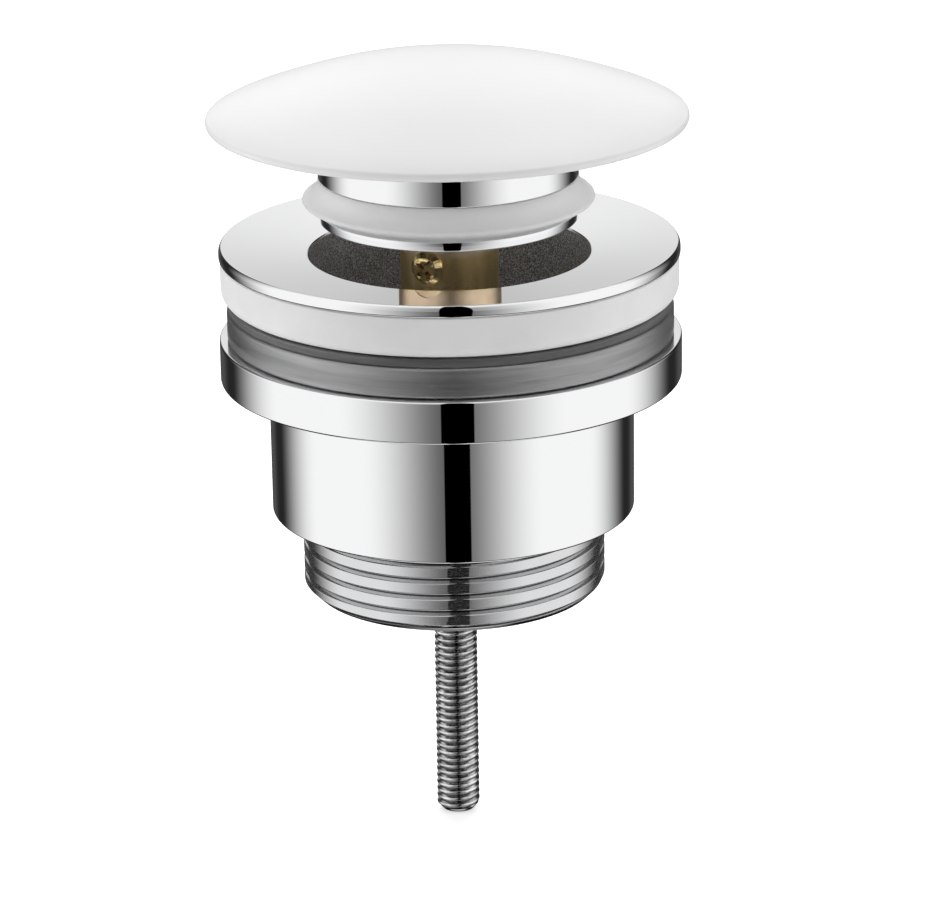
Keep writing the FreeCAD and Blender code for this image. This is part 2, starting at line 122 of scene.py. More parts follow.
@dataclass(frozen=True)
class Corner:
    """A corner of a turned piece's half section, with its rounding radius."""

    r: float
    z: float
    rounding: float = 0.0

    def bevel_reach(self, before: "Corner", after: "Corner") -> float:
        """How far along both sides the rounding starts.

        Args:
            before: The corner before this one in the section.
            after: The corner after this one.

        Returns:
            Distance from the corner to where the arc begins.
        """
        back = Vector((before.r - self.r, before.z - self.z))
        ahead = Vector((after.r - self.r, after.z - self.z))
        return self.rounding / math.tan(back.angle(ahead) / 2)


def deselect() -> None:
    """Leave nothing selected, so that an operator acts on the new piece alone."""
    if bpy.context.object and bpy.context.object.mode != "OBJECT":
        bpy.ops.object.mode_set(mode="OBJECT")
    bpy.ops.object.select_all(action="DESELECT")


def choose(piece: bpy.types.Object) -> None:
    """Make one piece the selected and active one.

    Args:
        piece: The piece to work on.
    """
    deselect()
    piece.select_set(True)
    bpy.context.view_layer.objects.active = piece


def edit(piece: bpy.types.Object, mode: str = "VERT") -> None:
    """Open a piece in edit mode with nothing selected.

    Args:
        piece: The piece to open.
        mode: What is selected in it: VERT, EDGE or FACE.
    """
    choose(piece)
    bpy.ops.object.mode_set(mode="EDIT")
    bpy.ops.mesh.select_mode(type=mode)
    bpy.ops.mesh.select_all(action="DESELECT")


def close_edit() -> None:
    """Leave edit mode."""
    bpy.ops.object.mode_set(mode="OBJECT")


def pick_edges(piece: bpy.types.Object, wanted: Callable[[bmesh.types.BMEdge], bool]) -> int:
    """Select the edges that a test accepts, in edit mode.

    Args:
        piece: The piece that is open in edit mode.
        wanted: Test of one edge.

    Returns:
        How many edges are selected.
    """
    mesh = bmesh.from_edit_mesh(piece.data)
    count = 0
    for edge in mesh.edges:
        chosen = wanted(edge)
        edge.select_set(chosen)
        count += chosen
    mesh.select_flush_mode()
    bmesh.update_edit_mesh(piece.data)
    return count


def smooth(piece: bpy.types.Object, angle: float = 38.0) -> bpy.types.Object:
    """Smooth the shading below an angle, with flat faces kept flat.

    Args:
        piece: The piece to shade.
        angle: Sharpest angle in degrees that is shaded smooth.

    Returns:
        The same piece.
    """
    choose(piece)
    bpy.ops.object.shade_smooth_by_angle(angle=math.radians(angle))
    bpy.ops.object.modifier_add(type="WEIGHTED_NORMAL")
    piece.modifiers[-1].keep_sharp = True
    bpy.ops.object.modifier_apply(modifier=piece.modifiers[-1].name)
    return piece


def combine(piece: bpy.types.Object, tool: bpy.types.Object, how: str) -> bpy.types.Object:
    """Apply a boolean between two closed pieces and remove the tool.

    Args:
        piece: The piece that stays.
        tool: The piece that cuts, adds or limits it.
        how: UNION, DIFFERENCE or INTERSECT.

    Returns:
        The piece that stays.
    """
    choose(piece)
    bpy.ops.object.modifier_add(type="BOOLEAN")
    change = piece.modifiers[-1]
    change.operation = how
    change.solver = "EXACT"
    change.object = tool
    bpy.ops.object.modifier_apply(modifier=change.name)
    choose(tool)
    bpy.ops.object.delete()
    return piece


@dataclass
class Lathe:
    """Turns a ring or a solid about the drain's axis from the corners of its half section."""

    steps: int = FINE_STEPS
    arc_segments: int = 6

    def turn(
        self, name: str, corners: Sequence[Corner], side: Side = Side.RING
    ) -> bpy.types.Object:
        """Extrude a circle from corner to corner, close it and round its corners.

        Args:
            name: Name of the new piece.
            corners: Corners in order round the section. A solid starts and ends on the axis,
                and its two axis corners are left out.
            side: Whether the section closes on itself or on the axis.

        Returns:
            The turned piece, with its place in its mesh.
        """
        piece = self._start(name, corners[0])
        path = list(corners[1:])
        if side is Side.RING:
            path.append(corners[0])
        here = corners[0]
        for corner in path:
            self._extrude_to(here, corner)
            here = corner
        if side is Side.SOLID:
            self._cap_pole(here)
            self._cap_start(piece, corners[0])
        bpy.ops.mesh.select_all(action="SELECT")
        bpy.ops.mesh.remove_doubles(threshold=WELD)
        self._round(piece, corners, side)
        bpy.ops.mesh.select_all(action="SELECT")
        bpy.ops.mesh.normals_make_consistent(inside=False)
        close_edit()
        return piece

    def _start(self, name: str, corner: Corner) -> bpy.types.Object:
        """Add the first circle at its size and place, and open it.

        Args:
            name: Name of the new piece.
            corner: The first corner.

        Returns:
            The circle, open in edit mode.
        """
        deselect()
        bpy.ops.mesh.primitive_circle_add(
            vertices=self.steps, radius=corner.r, fill_type="NOTHING", location=(0, 0, corner.z)
        )
        piece = bpy.context.object
        piece.name = name
        bpy.ops.object.transform_apply(location=True)
        edit(piece)
        bpy.ops.mesh.select_all(action="SELECT")
        return piece

    def _extrude_to(self, here: Corner, there: Corner) -> None:
        """Extrude the selected ring to the next corner's radius and level.

        Args:
            here: The corner that the ring is at.
            there: The next corner.
        """
        bpy.ops.mesh.extrude_region_move(TRANSFORM_OT_translate={"value": (0, 0, there.z - here.z)})
        growth = there.r / here.r
        bpy.ops.transform.resize(value=(growth, growth, 1), center_override=(0, 0, there.z))

    def _cap_pole(self, here: Corner) -> None:
        """Close the selected end ring with a small ring and a vertex on the axis.

        Args:
            here: The corner that the ring is at.
        """
        self._extrude_to(here, Corner(here.r * 0.5, here.z))
        bpy.ops.mesh.extrude_region_move(TRANSFORM_OT_translate={"value": (0, 0, 0)})
        bpy.ops.mesh.merge(type="CENTER")

    def _cap_start(self, piece: bpy.types.Object, corner: Corner) -> None:
        """Close the first ring in the same way.

        Args:
            piece: The piece that is open in edit mode.
            corner: Its first corner.
        """
        bpy.ops.mesh.select_all(action="DESELECT")
        bpy.ops.mesh.select_mode(type="EDGE")
        pick_edges(piece, lambda edge: edge.is_boundary and on_ring(edge, corner))
        self._cap_pole(corner)
        bpy.ops.mesh.select_mode(type="VERT")

    def _round(self, piece: bpy.types.Object, corners: Sequence[Corner], side: Side) -> None:
        """Bevel the edges of each corner that has a rounding radius.

        Args:
            piece: The piece that is open in edit mode.
            corners: Its corners in order.
            side: Whether the section closes on itself or on the axis.
        """
        axis = {0: Corner(0, corners[0].z), len(corners) - 1: Corner(0, corners[-1].z)}
        bpy.ops.mesh.select_mode(type="EDGE")
        for i, corner in enumerate(corners):
            if corner.rounding <= 0:
                continue
            before = corners[i - 1]
            after = corners[(i + 1) % len(corners)]
            if side is Side.SOLID and i == 0:
                before = axis[0]
            if side is Side.SOLID and i == len(corners) - 1:
                after = axis[i]
            pick_edges(piece, lambda edge: on_ring(edge, corner))
            bpy.ops.mesh.bevel(
                offset=corner.bevel_reach(before, after),
                offset_type="OFFSET",
                segments=self.arc_segments,
                profile=0.5,
                affect="EDGES",
                clamp_overlap=False,
            )


def on_ring(edge: bmesh.types.BMEdge, corner: Corner) -> bool:
    """Whether both ends of an edge lie on a corner's circle.

    Args:
        edge: The edge.
        corner: The corner whose circle is meant.

    Returns:
        True if both ends lie on it.
    """
    for vert in edge.verts:
        if abs(math.hypot(vert.co.x, vert.co.y) - corner.r) > NEAR:
            return False
        if abs(vert.co.z - corner.z) > NEAR:
            return False
    return True


@dataclass
class ThreadCutter:
    """A screwed bar of any length: one tooth is drawn, swept helically and cut to length."""

    major_radius: float
    pitch: float
    depth: float
    crest: float
    root: float
    corner: float
    corner_steps: int = 4
    steps: int = 96

    def tooth(self) -> list[tuple[float, float]]:
        """Radius and height of one tooth's points, from root to root.

        Returns:
            The points, with the radius first.
        """
        root_r = self.major_radius - self.depth
        flank = (self.pitch - self.crest - self.root) / 2
        lean = math.atan2(self.depth, flank)
        foot = self.root / 2
        shoulder = foot + flank
        trim = self.corner * math.tan(lean / 2)
        rising = []
        for step in range(self.corner_steps + 1):
            turn = lean * (1 - step / self.corner_steps)
            rising.append((
                self.major_radius - self.corner * (1 - math.cos(turn)),
                shoulder + trim - self.corner * math.sin(turn),
            ))
        falling = [(r, self.pitch - z) for r, z in reversed(rising)]
        low_root = [(root_r, 0.0), (root_r, foot)]
        high_root = [(root_r, self.pitch - z) for _, z in reversed(low_root)]
        return low_root + rising + falling + high_root

    def bar(self, name: str, bottom: float, top: float) -> bpy.types.Object:
        """A solid bar with the thread all along it.

        Args:
            name: Name of the new piece.
            bottom: Level of its lower end.
            top: Level of its upper end.

        Returns:
            The closed bar.
        """
        deselect()
        start = bottom - 2 * self.pitch
        points = self.tooth()
        bpy.ops.mesh.primitive_plane_add(size=self.pitch, location=(points[0][0], 0, start))
        piece = bpy.context.object
        piece.name = name
        bpy.ops.object.transform_apply(location=True)
        edit(piece)
        bpy.ops.mesh.select_all(action="SELECT")
        bpy.ops.mesh.merge(type="CENTER")
        for (r0, z0), (r1, z1) in zip(points, points[1:]):
            move = (r1 - r0, 0, z1 - z0)
            bpy.ops.mesh.extrude_region_move(TRANSFORM_OT_translate={"value": move})
        close_edit()
        self._sweep(piece, math.ceil((top - start) / self.pitch) + 1)
        self._cut(piece, bottom, keep_above=True)
        self._cut(piece, top, keep_above=False)
        edit(piece)
        bpy.ops.mesh.select_all(action="SELECT")
        bpy.ops.mesh.normals_make_consistent(inside=False)
        close_edit()
        return piece

    def _sweep(self, piece: bpy.types.Object, turns: int) -> None:
        """Screw the tooth upwards turn by turn and weld the turns together.

        Args:
            piece: The tooth's outline.
            turns: How many turns it makes.
        """
        choose(piece)
        bpy.ops.object.modifier_add(type="SCREW")
        screw = piece.modifiers[-1]
        screw.axis = "Z"
        screw.angle = TURN
        screw.screw_offset = self.pitch
        screw.steps = self.steps
        screw.render_steps = self.steps
        screw.iterations = turns
        screw.use_merge_vertices = False
        bpy.ops.object.modifier_apply(modifier=screw.name)
        edit(piece)
        bpy.ops.mesh.select_all(action="SELECT")
        bpy.ops.mesh.remove_doubles(threshold=WELD * 10)
        close_edit()

    def _cut(self, piece: bpy.types.Object, level: float, keep_above: bool) -> None:
        """Bisect the bar at a level and cap it there.

        Args:
            piece: The bar.
            level: Where it is cut.
            keep_above: Whether the part above the cut stays, or the part below.
        """
        edit(piece)
        bpy.ops.mesh.select_all(action="SELECT")
        bpy.ops.mesh.bisect(
            plane_co=(0, 0, level),
            plane_no=(0, 0, 1),
            use_fill=True,
            clear_inner=keep_above,
            clear_outer=not keep_above,
            threshold=WELD,
        )
        close_edit()


class Wiring:
    """Short calls that add the nodes of one tree and join them."""

    # A Mix node's sockets share their names, so they are found by number.
    MIX_FACTOR = 0
    MIX_VECTORS = (4, 5)
    MIX_COLOURS = (6, 7)
    MIXED_VECTOR = 1
    MIXED_COLOUR = 2

    def __init__(self, tree: bpy.types.NodeTree) -> None:
        """Take the tree that is wired."""
        self.tree = tree

    def node(self, kind: str, **settings: object) -> bpy.types.Node:
        """Add a node and set its properties.

        Args:
            kind: The node's type.
            settings: Its properties by name.

        Returns:
            The new node.
        """
        made = self.tree.nodes.new(kind)
        for key, value in settings.items():
            setattr(made, key, value)
        return made

    def link(self, source: Socket, target: Socket) -> None:
        """Connect two sockets."""
        self.tree.links.new(source, target)

    def feed(self, value: Socket | Colour | float, target: Socket) -> None:
        """Give a socket its value, from another node or fixed.

        Args:
            value: A socket to link, a colour or a number.
            target: The socket that takes it.
        """
        if isinstance(value, Socket):
            self.link(value, target)
        elif isinstance(value, tuple):
            target.default_value = (*value, 1.0)
        else:
            target.default_value = value

    def span(
        self,
        source: Socket,
        start: float,
        end: float,
        first: float,
        last: float,
        shape: str = "LINEAR",
    ) -> Socket:
        """Map a range of values to another, clamped.

        Args:
            source: The values.
            start: Where the range starts.
            end: Where it ends.
            first: What start becomes.
            last: What end becomes.
            shape: How it runs between them, LINEAR or SMOOTHSTEP.

        Returns:
            The mapped values.
        """
        made = self.node("ShaderNodeMapRange", clamp=True, interpolation_type=shape)
        self.link(source, made.inputs["Value"])
        names = ("From Min", "From Max", "To Min", "To Max")
        for key, value in zip(names, (start, end, first, last)):
            made.inputs[key].default_value = value
        return made.outputs["Result"]

    def math(self, operation: str, first: Socket | float, second: Socket | float = 0.0) -> Socket:
        """A sum, product or other operation of two values.

        Args:
            operation: Name of the operation.
            first: Its first value.
            second: Its second value, where it takes one.

        Returns:
            The result.
        """
        made = self.node("ShaderNodeMath", operation=operation)
        self.feed(first, made.inputs[0])
        self.feed(second, made.inputs[1])
        return made.outputs["Value"]

    def blend(self, factor: Socket, first: Socket | Colour, second: Socket | Colour) -> Socket:
        """Mix two colours.

        Args:
            factor: Share of the second colour.
            first: The colour at 0.
            second: The colour at 1.

        Returns:
            The mixed colour.
        """
        made = self.node("ShaderNodeMix", data_type="RGBA")
        self.link(factor, made.inputs[self.MIX_FACTOR])
        for value, place in zip((first, second), self.MIX_COLOURS):
            self.feed(value, made.inputs[place])
        return made.outputs[self.MIXED_COLOUR]

    def either(self, factor: Socket, first: Socket, second: Socket) -> Socket:
        """Mix two shaders.

        Args:
            factor: Share of the second shader.
            first: The shader at 0.
            second: The shader at 1.

        Returns:
            The mixed shader.
        """
        made = self.node("ShaderNodeMixShader")
        for source, target in zip((factor, first, second), made.inputs):
            self.link(source, target)
        return made.outputs[0]


class Sheet(Wiring):
    """The node tree of one finish, with what several finishes share."""

    ROOT_CLEAR = 0.04 * MM
    ROOT_FADE = 0.12 * MM

    def __init__(self, name: str) -> None:
        """Start a material whose shader is a Principled one.

        Args:
            name: Name of the material.
        """
        self.material = bpy.data.materials.new(name)
        self.material.use_nodes = True
        super().__init__(self.material.node_tree)
        self.shader = self.tree.nodes["Principled BSDF"]
        self.place = self.node("ShaderNodeTexCoord").outputs["Object"]

    def stretch(self, x: float, y: float, z: float) -> Socket:
        """Scale the object's own coordinates.

        Args:
            x: Scale along X.
            y: Scale along Y.
            z: Scale along Z. A larger one makes a pattern flatter.

        Returns:
            The scaled coordinates.
        """
        made = self.node("ShaderNodeMapping")
        made.inputs["Scale"].default_value = (x, y, z)
        self.link(self.place, made.inputs["Vector"])
        return made.outputs["Vector"]

    def noise(self, scale: float, detail: float = 3.0, where: Optional[Socket] = None) -> Socket:
        """A noise of a given scale per metre.

        Args:
            scale: Cells per metre.
            detail: Octaves of finer noise.
            where: Coordinates, or the object's own.

        Returns:
            The noise's factor.
        """
        made = self.node("ShaderNodeTexNoise")
        made.inputs["Scale"].default_value = scale
        made.inputs["Detail"].default_value = detail
        self.link(where or self.place, made.inputs["Vector"])
        return made.outputs["Fac"]

    def clouded(
        self, pattern: Socket, start: float, end: float, colour: Colour, shade: float
    ) -> Socket:
        """A colour that loses light where a pattern is low.

        Args:
            pattern: The pattern.
            start: Value of the pattern where the colour is darkest.
            end: Value of the pattern from which it is clean.
            colour: The clean colour.
            shade: Share of its light that is left where it is darkest.

        Returns:
            The clouded colour.
        """
        return self.blend(self.span(pattern, start, end, 0, 1), dim(colour, shade), colour)

    def radius(self) -> Socket:
        """Distance from the drain's axis.

        Returns:
            The distance in metres.
        """
        flat = self.node("ShaderNodeVectorMath", operation="MULTIPLY")
        self.link(self.place, flat.inputs[0])
        flat.inputs[1].default_value = (1, 1, 0)
        length = self.node("ShaderNodeVectorMath", operation="LENGTH")
        self.link(flat.outputs["Vector"], length.inputs[0])
        return length.outputs["Value"]

    def painted_root_shade(self, colour: Socket | Colour, radius: float, shade: float) -> Socket | Colour:
        """A colour darkened inside a radius: painted shade in a thread's roots, where the narrow
        groove lies in shade.

        Args:
            colour: The clean colour.
            radius: Radius of the roots. None are darkened if it is 0.
            shade: Share of the colour's light that is left at the roots.

        Returns:
            The colour with painted shade in its roots.
        """
        if radius <= 0:
            return colour
        # Painted shade: towards the roots the colour falls to a share of its light.
        start = radius + self.ROOT_CLEAR
        light = self.span(self.radius(), start, start + self.ROOT_FADE, shade, 1.0)
        return self.blend(light, (0.0, 0.0, 0.0), colour)

    def height(self) -> Socket:
        """Level along the drain's axis.

        Returns:
            The level in metres.
        """
        split = self.node("ShaderNodeSeparateXYZ")
        self.link(self.place, split.inputs["Vector"])
        return split.outputs["Z"]

    def bump(
        self, source: Socket, strength: float, distance: float, over: Optional[Socket] = None
    ) -> Socket:
        """Raise the surface by a height pattern.

        Args:
            source: The pattern.
            strength: Share of the full relief.
            distance: Relief in metres.
            over: Another bump's normal that this one lies on.

        Returns:
            The new normal.
        """
        made = self.node("ShaderNodeBump")
        made.inputs["Strength"].default_value = strength
        made.inputs["Distance"].default_value = distance
        self.link(source, made.inputs["Height"])
        if over:
            self.link(over, made.inputs["Normal"])
        return made.outputs["Normal"]

    def blend_normals(self, factor: Socket, first: Socket, second: Socket) -> Socket:
        """Mix two normals.

        Args:
            factor: Share of the second normal.
            first: The normal at 0.
            second: The normal at 1.

        Returns:
            The mixed normal.
        """
        made = self.node("ShaderNodeMix", data_type="VECTOR")
        self.link(factor, made.inputs[self.MIX_FACTOR])
        for value, place in zip((first, second), self.MIX_VECTORS):
            self.link(value, made.inputs[place])
        return made.outputs[self.MIXED_VECTOR]

    def set(self, **values: object) -> None:
        """Set the shader's own sockets. An underscore stands for a space."""
        for key, value in values.items():
            self.feed(value, self.shader.inputs[key.replace("_", " ")])


@dataclass(frozen=True)
class GlazedCeramic:
    """Silky white glaze with a faint orange peel."""

    colour: Colour = (0.88, 0.88, 0.877)
    shade: Colour = (0.865, 0.865, 0.862)
    roughness: float = 0.285
    spread: float = 0.03

    def make(self) -> bpy.types.Material:
        """Build the finish.

        Returns:
            The material.
        """
        sheet = Sheet("glazed_ceramic")
        cloud = sheet.noise(45, 4)
        peel = sheet.noise(900, 2)
        fine = sheet.noise(5200, 2)
        rough = self.roughness + self.spread
        sheet.set(
            Base_Color=sheet.blend(sheet.span(cloud, 0.35, 0.65, 0, 1), self.shade, self.colour),
            Roughness=sheet.span(cloud, 0.2, 0.8, self.roughness, rough),
            Specular_IOR_Level=0.5,
            Subsurface_Weight=0.08,
            Subsurface_Radius=EVEN_SPREAD,
            Subsurface_Scale=0.003,
            Normal=sheet.bump(peel, 0.12, 0.00004, sheet.bump(fine, 0.1, 0.00001)),
        )
        return sheet.material


@dataclass(frozen=True)
class BrightChrome:
    """Polished chrome plate, with the faint haze and lines that polishing leaves.

    A thread's roots may be darkened with painted shade, and a bore may be left as rough as it was
    cast.
    """

    name: str = "bright_chrome"
    colour: Colour = (0.95, 0.955, 0.96)
    metallic: float = 1.0
    roughness: float = 0.012
    haze: float = 0.023
    line_roughness: float = 0.03
    root_radius: float = 0.0
    root_shade: float = 0.25
    bore_radius: float = 0.0
    bore_top: float = 0.0
    bore_low: float = -1.0
    bore_edge: float = 0.1 * MM
    bore_top_edge: float = 0.05 * MM
    cast_dark: Colour = (0.27, 0.27, 0.285)
    cast_light: Colour = (0.95, 0.95, 0.97)
    cast_metallic: float = 0.35
    cast_roughness: float = 0.55

    def make(self) -> bpy.types.Material:
        """Build the finish, with a raw cast bore if one is given.

        Returns:
            The material.
        """
        sheet = Sheet(self.name)
        lines = sheet.noise(60, 4, sheet.stretch(6, 6, 160))
        haze = sheet.noise(70, 3)
        roughness = sheet.math(
            "ADD",
            sheet.span(haze, 0.4, 0.75, self.roughness, self.roughness + self.haze),
            sheet.span(lines, 0.55, 0.9, 0.0, self.line_roughness),
        )
        plate = sheet.bump(lines, 0.06, 0.000006)
        if self.bore_radius <= 0:
            sheet.set(Metallic=self.metallic, Roughness=roughness, Normal=plate)
            # Painted shade: a thread's roots are darkened in the colour.
            sheet.set(Base_Color=sheet.painted_root_shade(self.colour, self.root_radius, self.root_shade))
            return sheet.material
        raw = self._bore(sheet)
        grain = sheet.noise(5200, 5)
        coarse = sheet.noise(1700, 3)
        cast = sheet.blend(sheet.span(grain, 0.42, 0.66, 0, 1), self.cast_dark, self.cast_light)
        relief = sheet.bump(coarse, 0.9, 0.00025, sheet.bump(grain, 0.9, 0.00012))
        rough = sheet.math("MULTIPLY", raw, self.cast_roughness)
        sheet.set(
            Base_Color=sheet.blend(raw, self.colour, cast),
            Metallic=sheet.span(raw, 0, 1, 1.0, self.cast_metallic),
            Roughness=sheet.math("ADD", roughness, rough),
            Normal=sheet.blend_normals(raw, plate, relief),
        )
        return sheet.material

    def _bore(self, sheet: Sheet) -> Socket:
        """Where the bore is.

        Args:
            sheet: The finish's node tree.

        Returns:
            1 on the bore and 0 beside it.
        """
        radius = sheet.radius()
        height = sheet.height()
        inside = sheet.span(radius, self.bore_radius, self.bore_radius + self.bore_edge, 1, 0)
        below = sheet.span(height, self.bore_top, self.bore_top + self.bore_top_edge, 1, 0)
        above = sheet.span(height, self.bore_low, self.bore_low + self.bore_edge, 0, 1)
        return sheet.math("MULTIPLY", sheet.math("MULTIPLY", inside, below), above)


@dataclass(frozen=True)
class TurnedBrass:
    """Bare turned brass with fine tool lines, streaked below a level; above it the colour is
    painted lighter and rosier, as painted light.
    """

    name: str = "turned_brass"
    light: Colour = (1.0, 0.77, 0.38)
    dark: Colour = (0.60, 0.44, 0.19)
    # Painted light: the lighter, rosier colour above a level, and where it starts.
    painted_light_rose: Colour = (0.98, 0.76, 0.53)
    painted_light_from: float = 6.3 * MM
    painted_light_edge: float = 0.8 * MM
    roughness: float = 0.28
    spread: float = 0.14
    metallic: float = 0.88

    def make(self) -> bpy.types.Material:
        """Build the finish.

        Returns:
            The material.
        """
        sheet = Sheet(self.name)
        lines = sheet.noise(260, 5, sheet.stretch(1.0, 1.0, 26))
        stain = sheet.noise(420, 5)
        streaks = sheet.noise(330, 2, sheet.stretch(1.0, 1.0, 0.12))
        specks = sheet.noise(3800, 3)
        streaked = sheet.span(streaks, 0.38, 0.62, 0, 0.7)
        tint = sheet.math("ADD", streaked, sheet.span(specks, 0.5, 0.8, 0, 0.4))
        # Painted light: above a level the streaked colour gives way to a lighter, rosier one.
        above = sheet.span(sheet.height(), self.painted_light_from, self.painted_light_from + self.painted_light_edge, 0, 1)
        rough = self.roughness + self.spread
        sheet.set(
            Base_Color=sheet.blend(above, sheet.blend(tint, self.light, self.dark), self.painted_light_rose),
            Metallic=self.metallic,
            Roughness=sheet.span(stain, 0.3, 0.7, self.roughness, rough),
            Normal=sheet.bump(lines, 0.35, 0.00004, sheet.bump(specks, 0.25, 0.00002)),
        )
        return sheet.material


@dataclass(frozen=True)
class ZincPlate:
    """Zinc-plated steel, slightly uneven, with small pits and, on a thread, painted shade in the
    roots.
    """

    name: str = "zinc_plate"
    colour: Colour = (0.92, 0.925, 0.93)
    shade: float = 0.62
    roughness: float = 0.07
    spread: float = 0.10
    root_radius: float = 0.0
    root_shade: float = 0.3

    def make(self) -> bpy.types.Material:
        """Build the finish.

        Returns:
            The material.
        """
        sheet = Sheet(self.name)
        cloud = sheet.noise(700, 5)
        pits = sheet.noise(3600, 4)
        plate = sheet.clouded(cloud, 0.36, 0.62, self.colour, self.shade)
        rough = self.roughness + self.spread
        # Painted shade: on a thread the roots are darkened in the colour.
        sheet.set(
            Base_Color=sheet.painted_root_shade(plate, self.root_radius, self.root_shade),
            Metallic=1.0,
            Roughness=sheet.span(cloud, 0.3, 0.7, self.roughness, rough),
            Normal=sheet.bump(pits, 0.45, 0.00005, sheet.bump(cloud, 0.2, 0.00006)),
        )
        return sheet.material


@dataclass(frozen=True)
class WhiteRubber:
    """Moulded white rubber, satin, with a fine grain."""

    colour: Colour = (0.86, 0.86, 0.86)
    shade: float = 0.94
    roughness: float = 0.40
    spread: float = 0.12

    def make(self) -> bpy.types.Material:
        """Build the finish.

        Returns:
            The material.
        """
        sheet = Sheet("white_rubber")
        grain = sheet.noise(4200, 3)
        cloud = sheet.noise(110, 4)
        rough = self.roughness + self.spread
        sheet.set(
            Base_Color=sheet.clouded(cloud, 0.35, 0.65, self.colour, self.shade),
            Roughness=sheet.span(grain, 0.3, 0.7, self.roughness, rough),
            Subsurface_Weight=0.12,
            Subsurface_Radius=EVEN_SPREAD,
            Subsurface_Scale=0.002,
            Specular_IOR_Level=0.4,
            Normal=sheet.bump(grain, 0.12, 0.00002),
        )
        return sheet.material


@dataclass(frozen=True)
class Silicone:
    """Milky silicone that lets light through at its thin lip."""

    colour: Colour = (0.99, 0.99, 0.99)
    shade: float = 0.97
    roughness: float = 0.30
    spread: float = 0.12

    def make(self) -> bpy.types.Material:
        """Build the finish.

        Returns:
            The material.
        """
        sheet = Sheet("milky_silicone")
        grain = sheet.noise(2600, 3)
        flow = sheet.noise(90, 3, sheet.stretch(1, 1, 9))
        rough = self.roughness + self.spread
        sheet.set(
            Base_Color=sheet.clouded(flow, 0.4, 0.6, self.colour, self.shade),
            Roughness=sheet.span(grain, 0.3, 0.7, self.roughness, rough),
            IOR=1.41,
            Subsurface_Weight=0.8,
            Subsurface_Radius=EVEN_SPREAD,
            Subsurface_Scale=0.003,
            Normal=sheet.bump(flow, 0.15, 0.00006, sheet.bump(grain, 0.1, 0.00001)),
        )
        return sheet.material


@dataclass(frozen=True)
class ClearPlastic:
    """Cloudy see-through plastic with flow waves from its mould."""

    name: str
    colour: Colour
    roughness: float
    transmission: float
    sheen: float = 0.0
    shade: float = 0.58
    spread: float = 0.08

    def make(self) -> bpy.types.Material:
        """Build the finish.

        Returns:
            The material.
        """
        sheet = Sheet(self.name)
        flow = sheet.noise(120, 4, sheet.stretch(0.3, 0.3, 5))
        rough = self.roughness + self.spread
        sheet.set(
            Base_Color=sheet.clouded(flow, 0.35, 0.65, self.colour, self.shade),
            Roughness=sheet.span(flow, 0.35, 0.7, self.roughness, rough),
            Transmission_Weight=self.transmission,
            Metallic=self.sheen,
            IOR=1.45,
            Normal=sheet.bump(flow, 0.6, 0.0003),
        )
        return sheet.material


@dataclass(frozen=True)
class PressedFibre:
    """Red-brown pressed fibre with a short paper grain."""

    colour: Colour = (0.30, 0.075, 0.035)
    shade: float = 0.6

    def make(self) -> bpy.types.Material:
        """Build the finish.

        Returns:
            The material.
        """
        sheet = Sheet("pressed_fibre")
        grain = sheet.noise(1500, 5, sheet.stretch(1, 1, 3))
        sheet.set(
            Base_Color=sheet.clouded(grain, 0.35, 0.65, self.colour, self.shade),
            Roughness=0.75,
            Normal=sheet.bump(grain, 0.4, 0.00006),
        )
        return sheet.material


class Finishes:
    """All finishes of the part, each made once.

    The rough bore and the painted shade in the threads' roots lie where the flange's and the
    threads' sizes put them.
    """

    BORE_GAP = 0.02 * MM
    BORE_DROP = 0.04 * MM

    def __init__(self) -> None:
        """Build the materials."""
        self.ceramic = GlazedCeramic().make()
        self.chrome = BrightChrome().make()
        self.cast_bore = BrightChrome(
            name="chrome_over_cast_bore",
            bore_radius=Flange.hole_dia / 2 + self.BORE_GAP,
            bore_top=high("top_flange") - Flange.dish - Flange.hole_rounding - self.BORE_DROP,
        ).make()
        # The tail's chrome, with painted shade in its thread's roots.
        self.thread_chrome = BrightChrome(
            name="chrome_over_thread",
            colour=(0.75, 0.755, 0.76),
            metallic=0.95,
            roughness=0.045,
            root_radius=ClampCup.tail_dia / 2 - ClampCup.tail_depth,
        ).make()
        self.brass = TurnedBrass().make()
        # The screw's brass has no painted light: its level is put a metre up.
        self.screw_brass = TurnedBrass(
            name="bright_brass",
            light=(1.0, 0.80, 0.40),
            dark=(0.62, 0.43, 0.17),
            roughness=0.07,
            spread=0.12,
            metallic=0.97,
            painted_light_from=1.0,
        ).make()
        self.zinc = ZincPlate().make()
        # The rod's zinc, with painted shade in its thread's roots.
        self.rod_zinc = ZincPlate(
            name="zinc_over_thread", root_radius=Rod.dia / 2 - Rod.depth
        ).make()
        self.spring_steel = ZincPlate(
            name="spring_steel", colour=(0.55, 0.55, 0.56), roughness=0.25
        ).make()
        self.rubber = WhiteRubber().make()
        self.silicone = Silicone().make()
        self.soft_packing = ClearPlastic("soft_packing", (0.50, 0.505, 0.51), 0.29, 0.72).make()
        self.clear_packing = ClearPlastic(
            "clear_packing", (0.76, 0.765, 0.77), 0.28, 0.82, sheen=0.4
        ).make()
        self.fibre = PressedFibre().make()


def dress(piece: bpy.types.Object, finish: bpy.types.Material) -> None:
    """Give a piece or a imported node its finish.

    Args:
        piece: The object whose slots are set.
        finish: The material for all of its faces.
    """
    if not piece.material_slots:
        piece.data.materials.append(finish)
    for place in piece.material_slots:
        place.material = finish


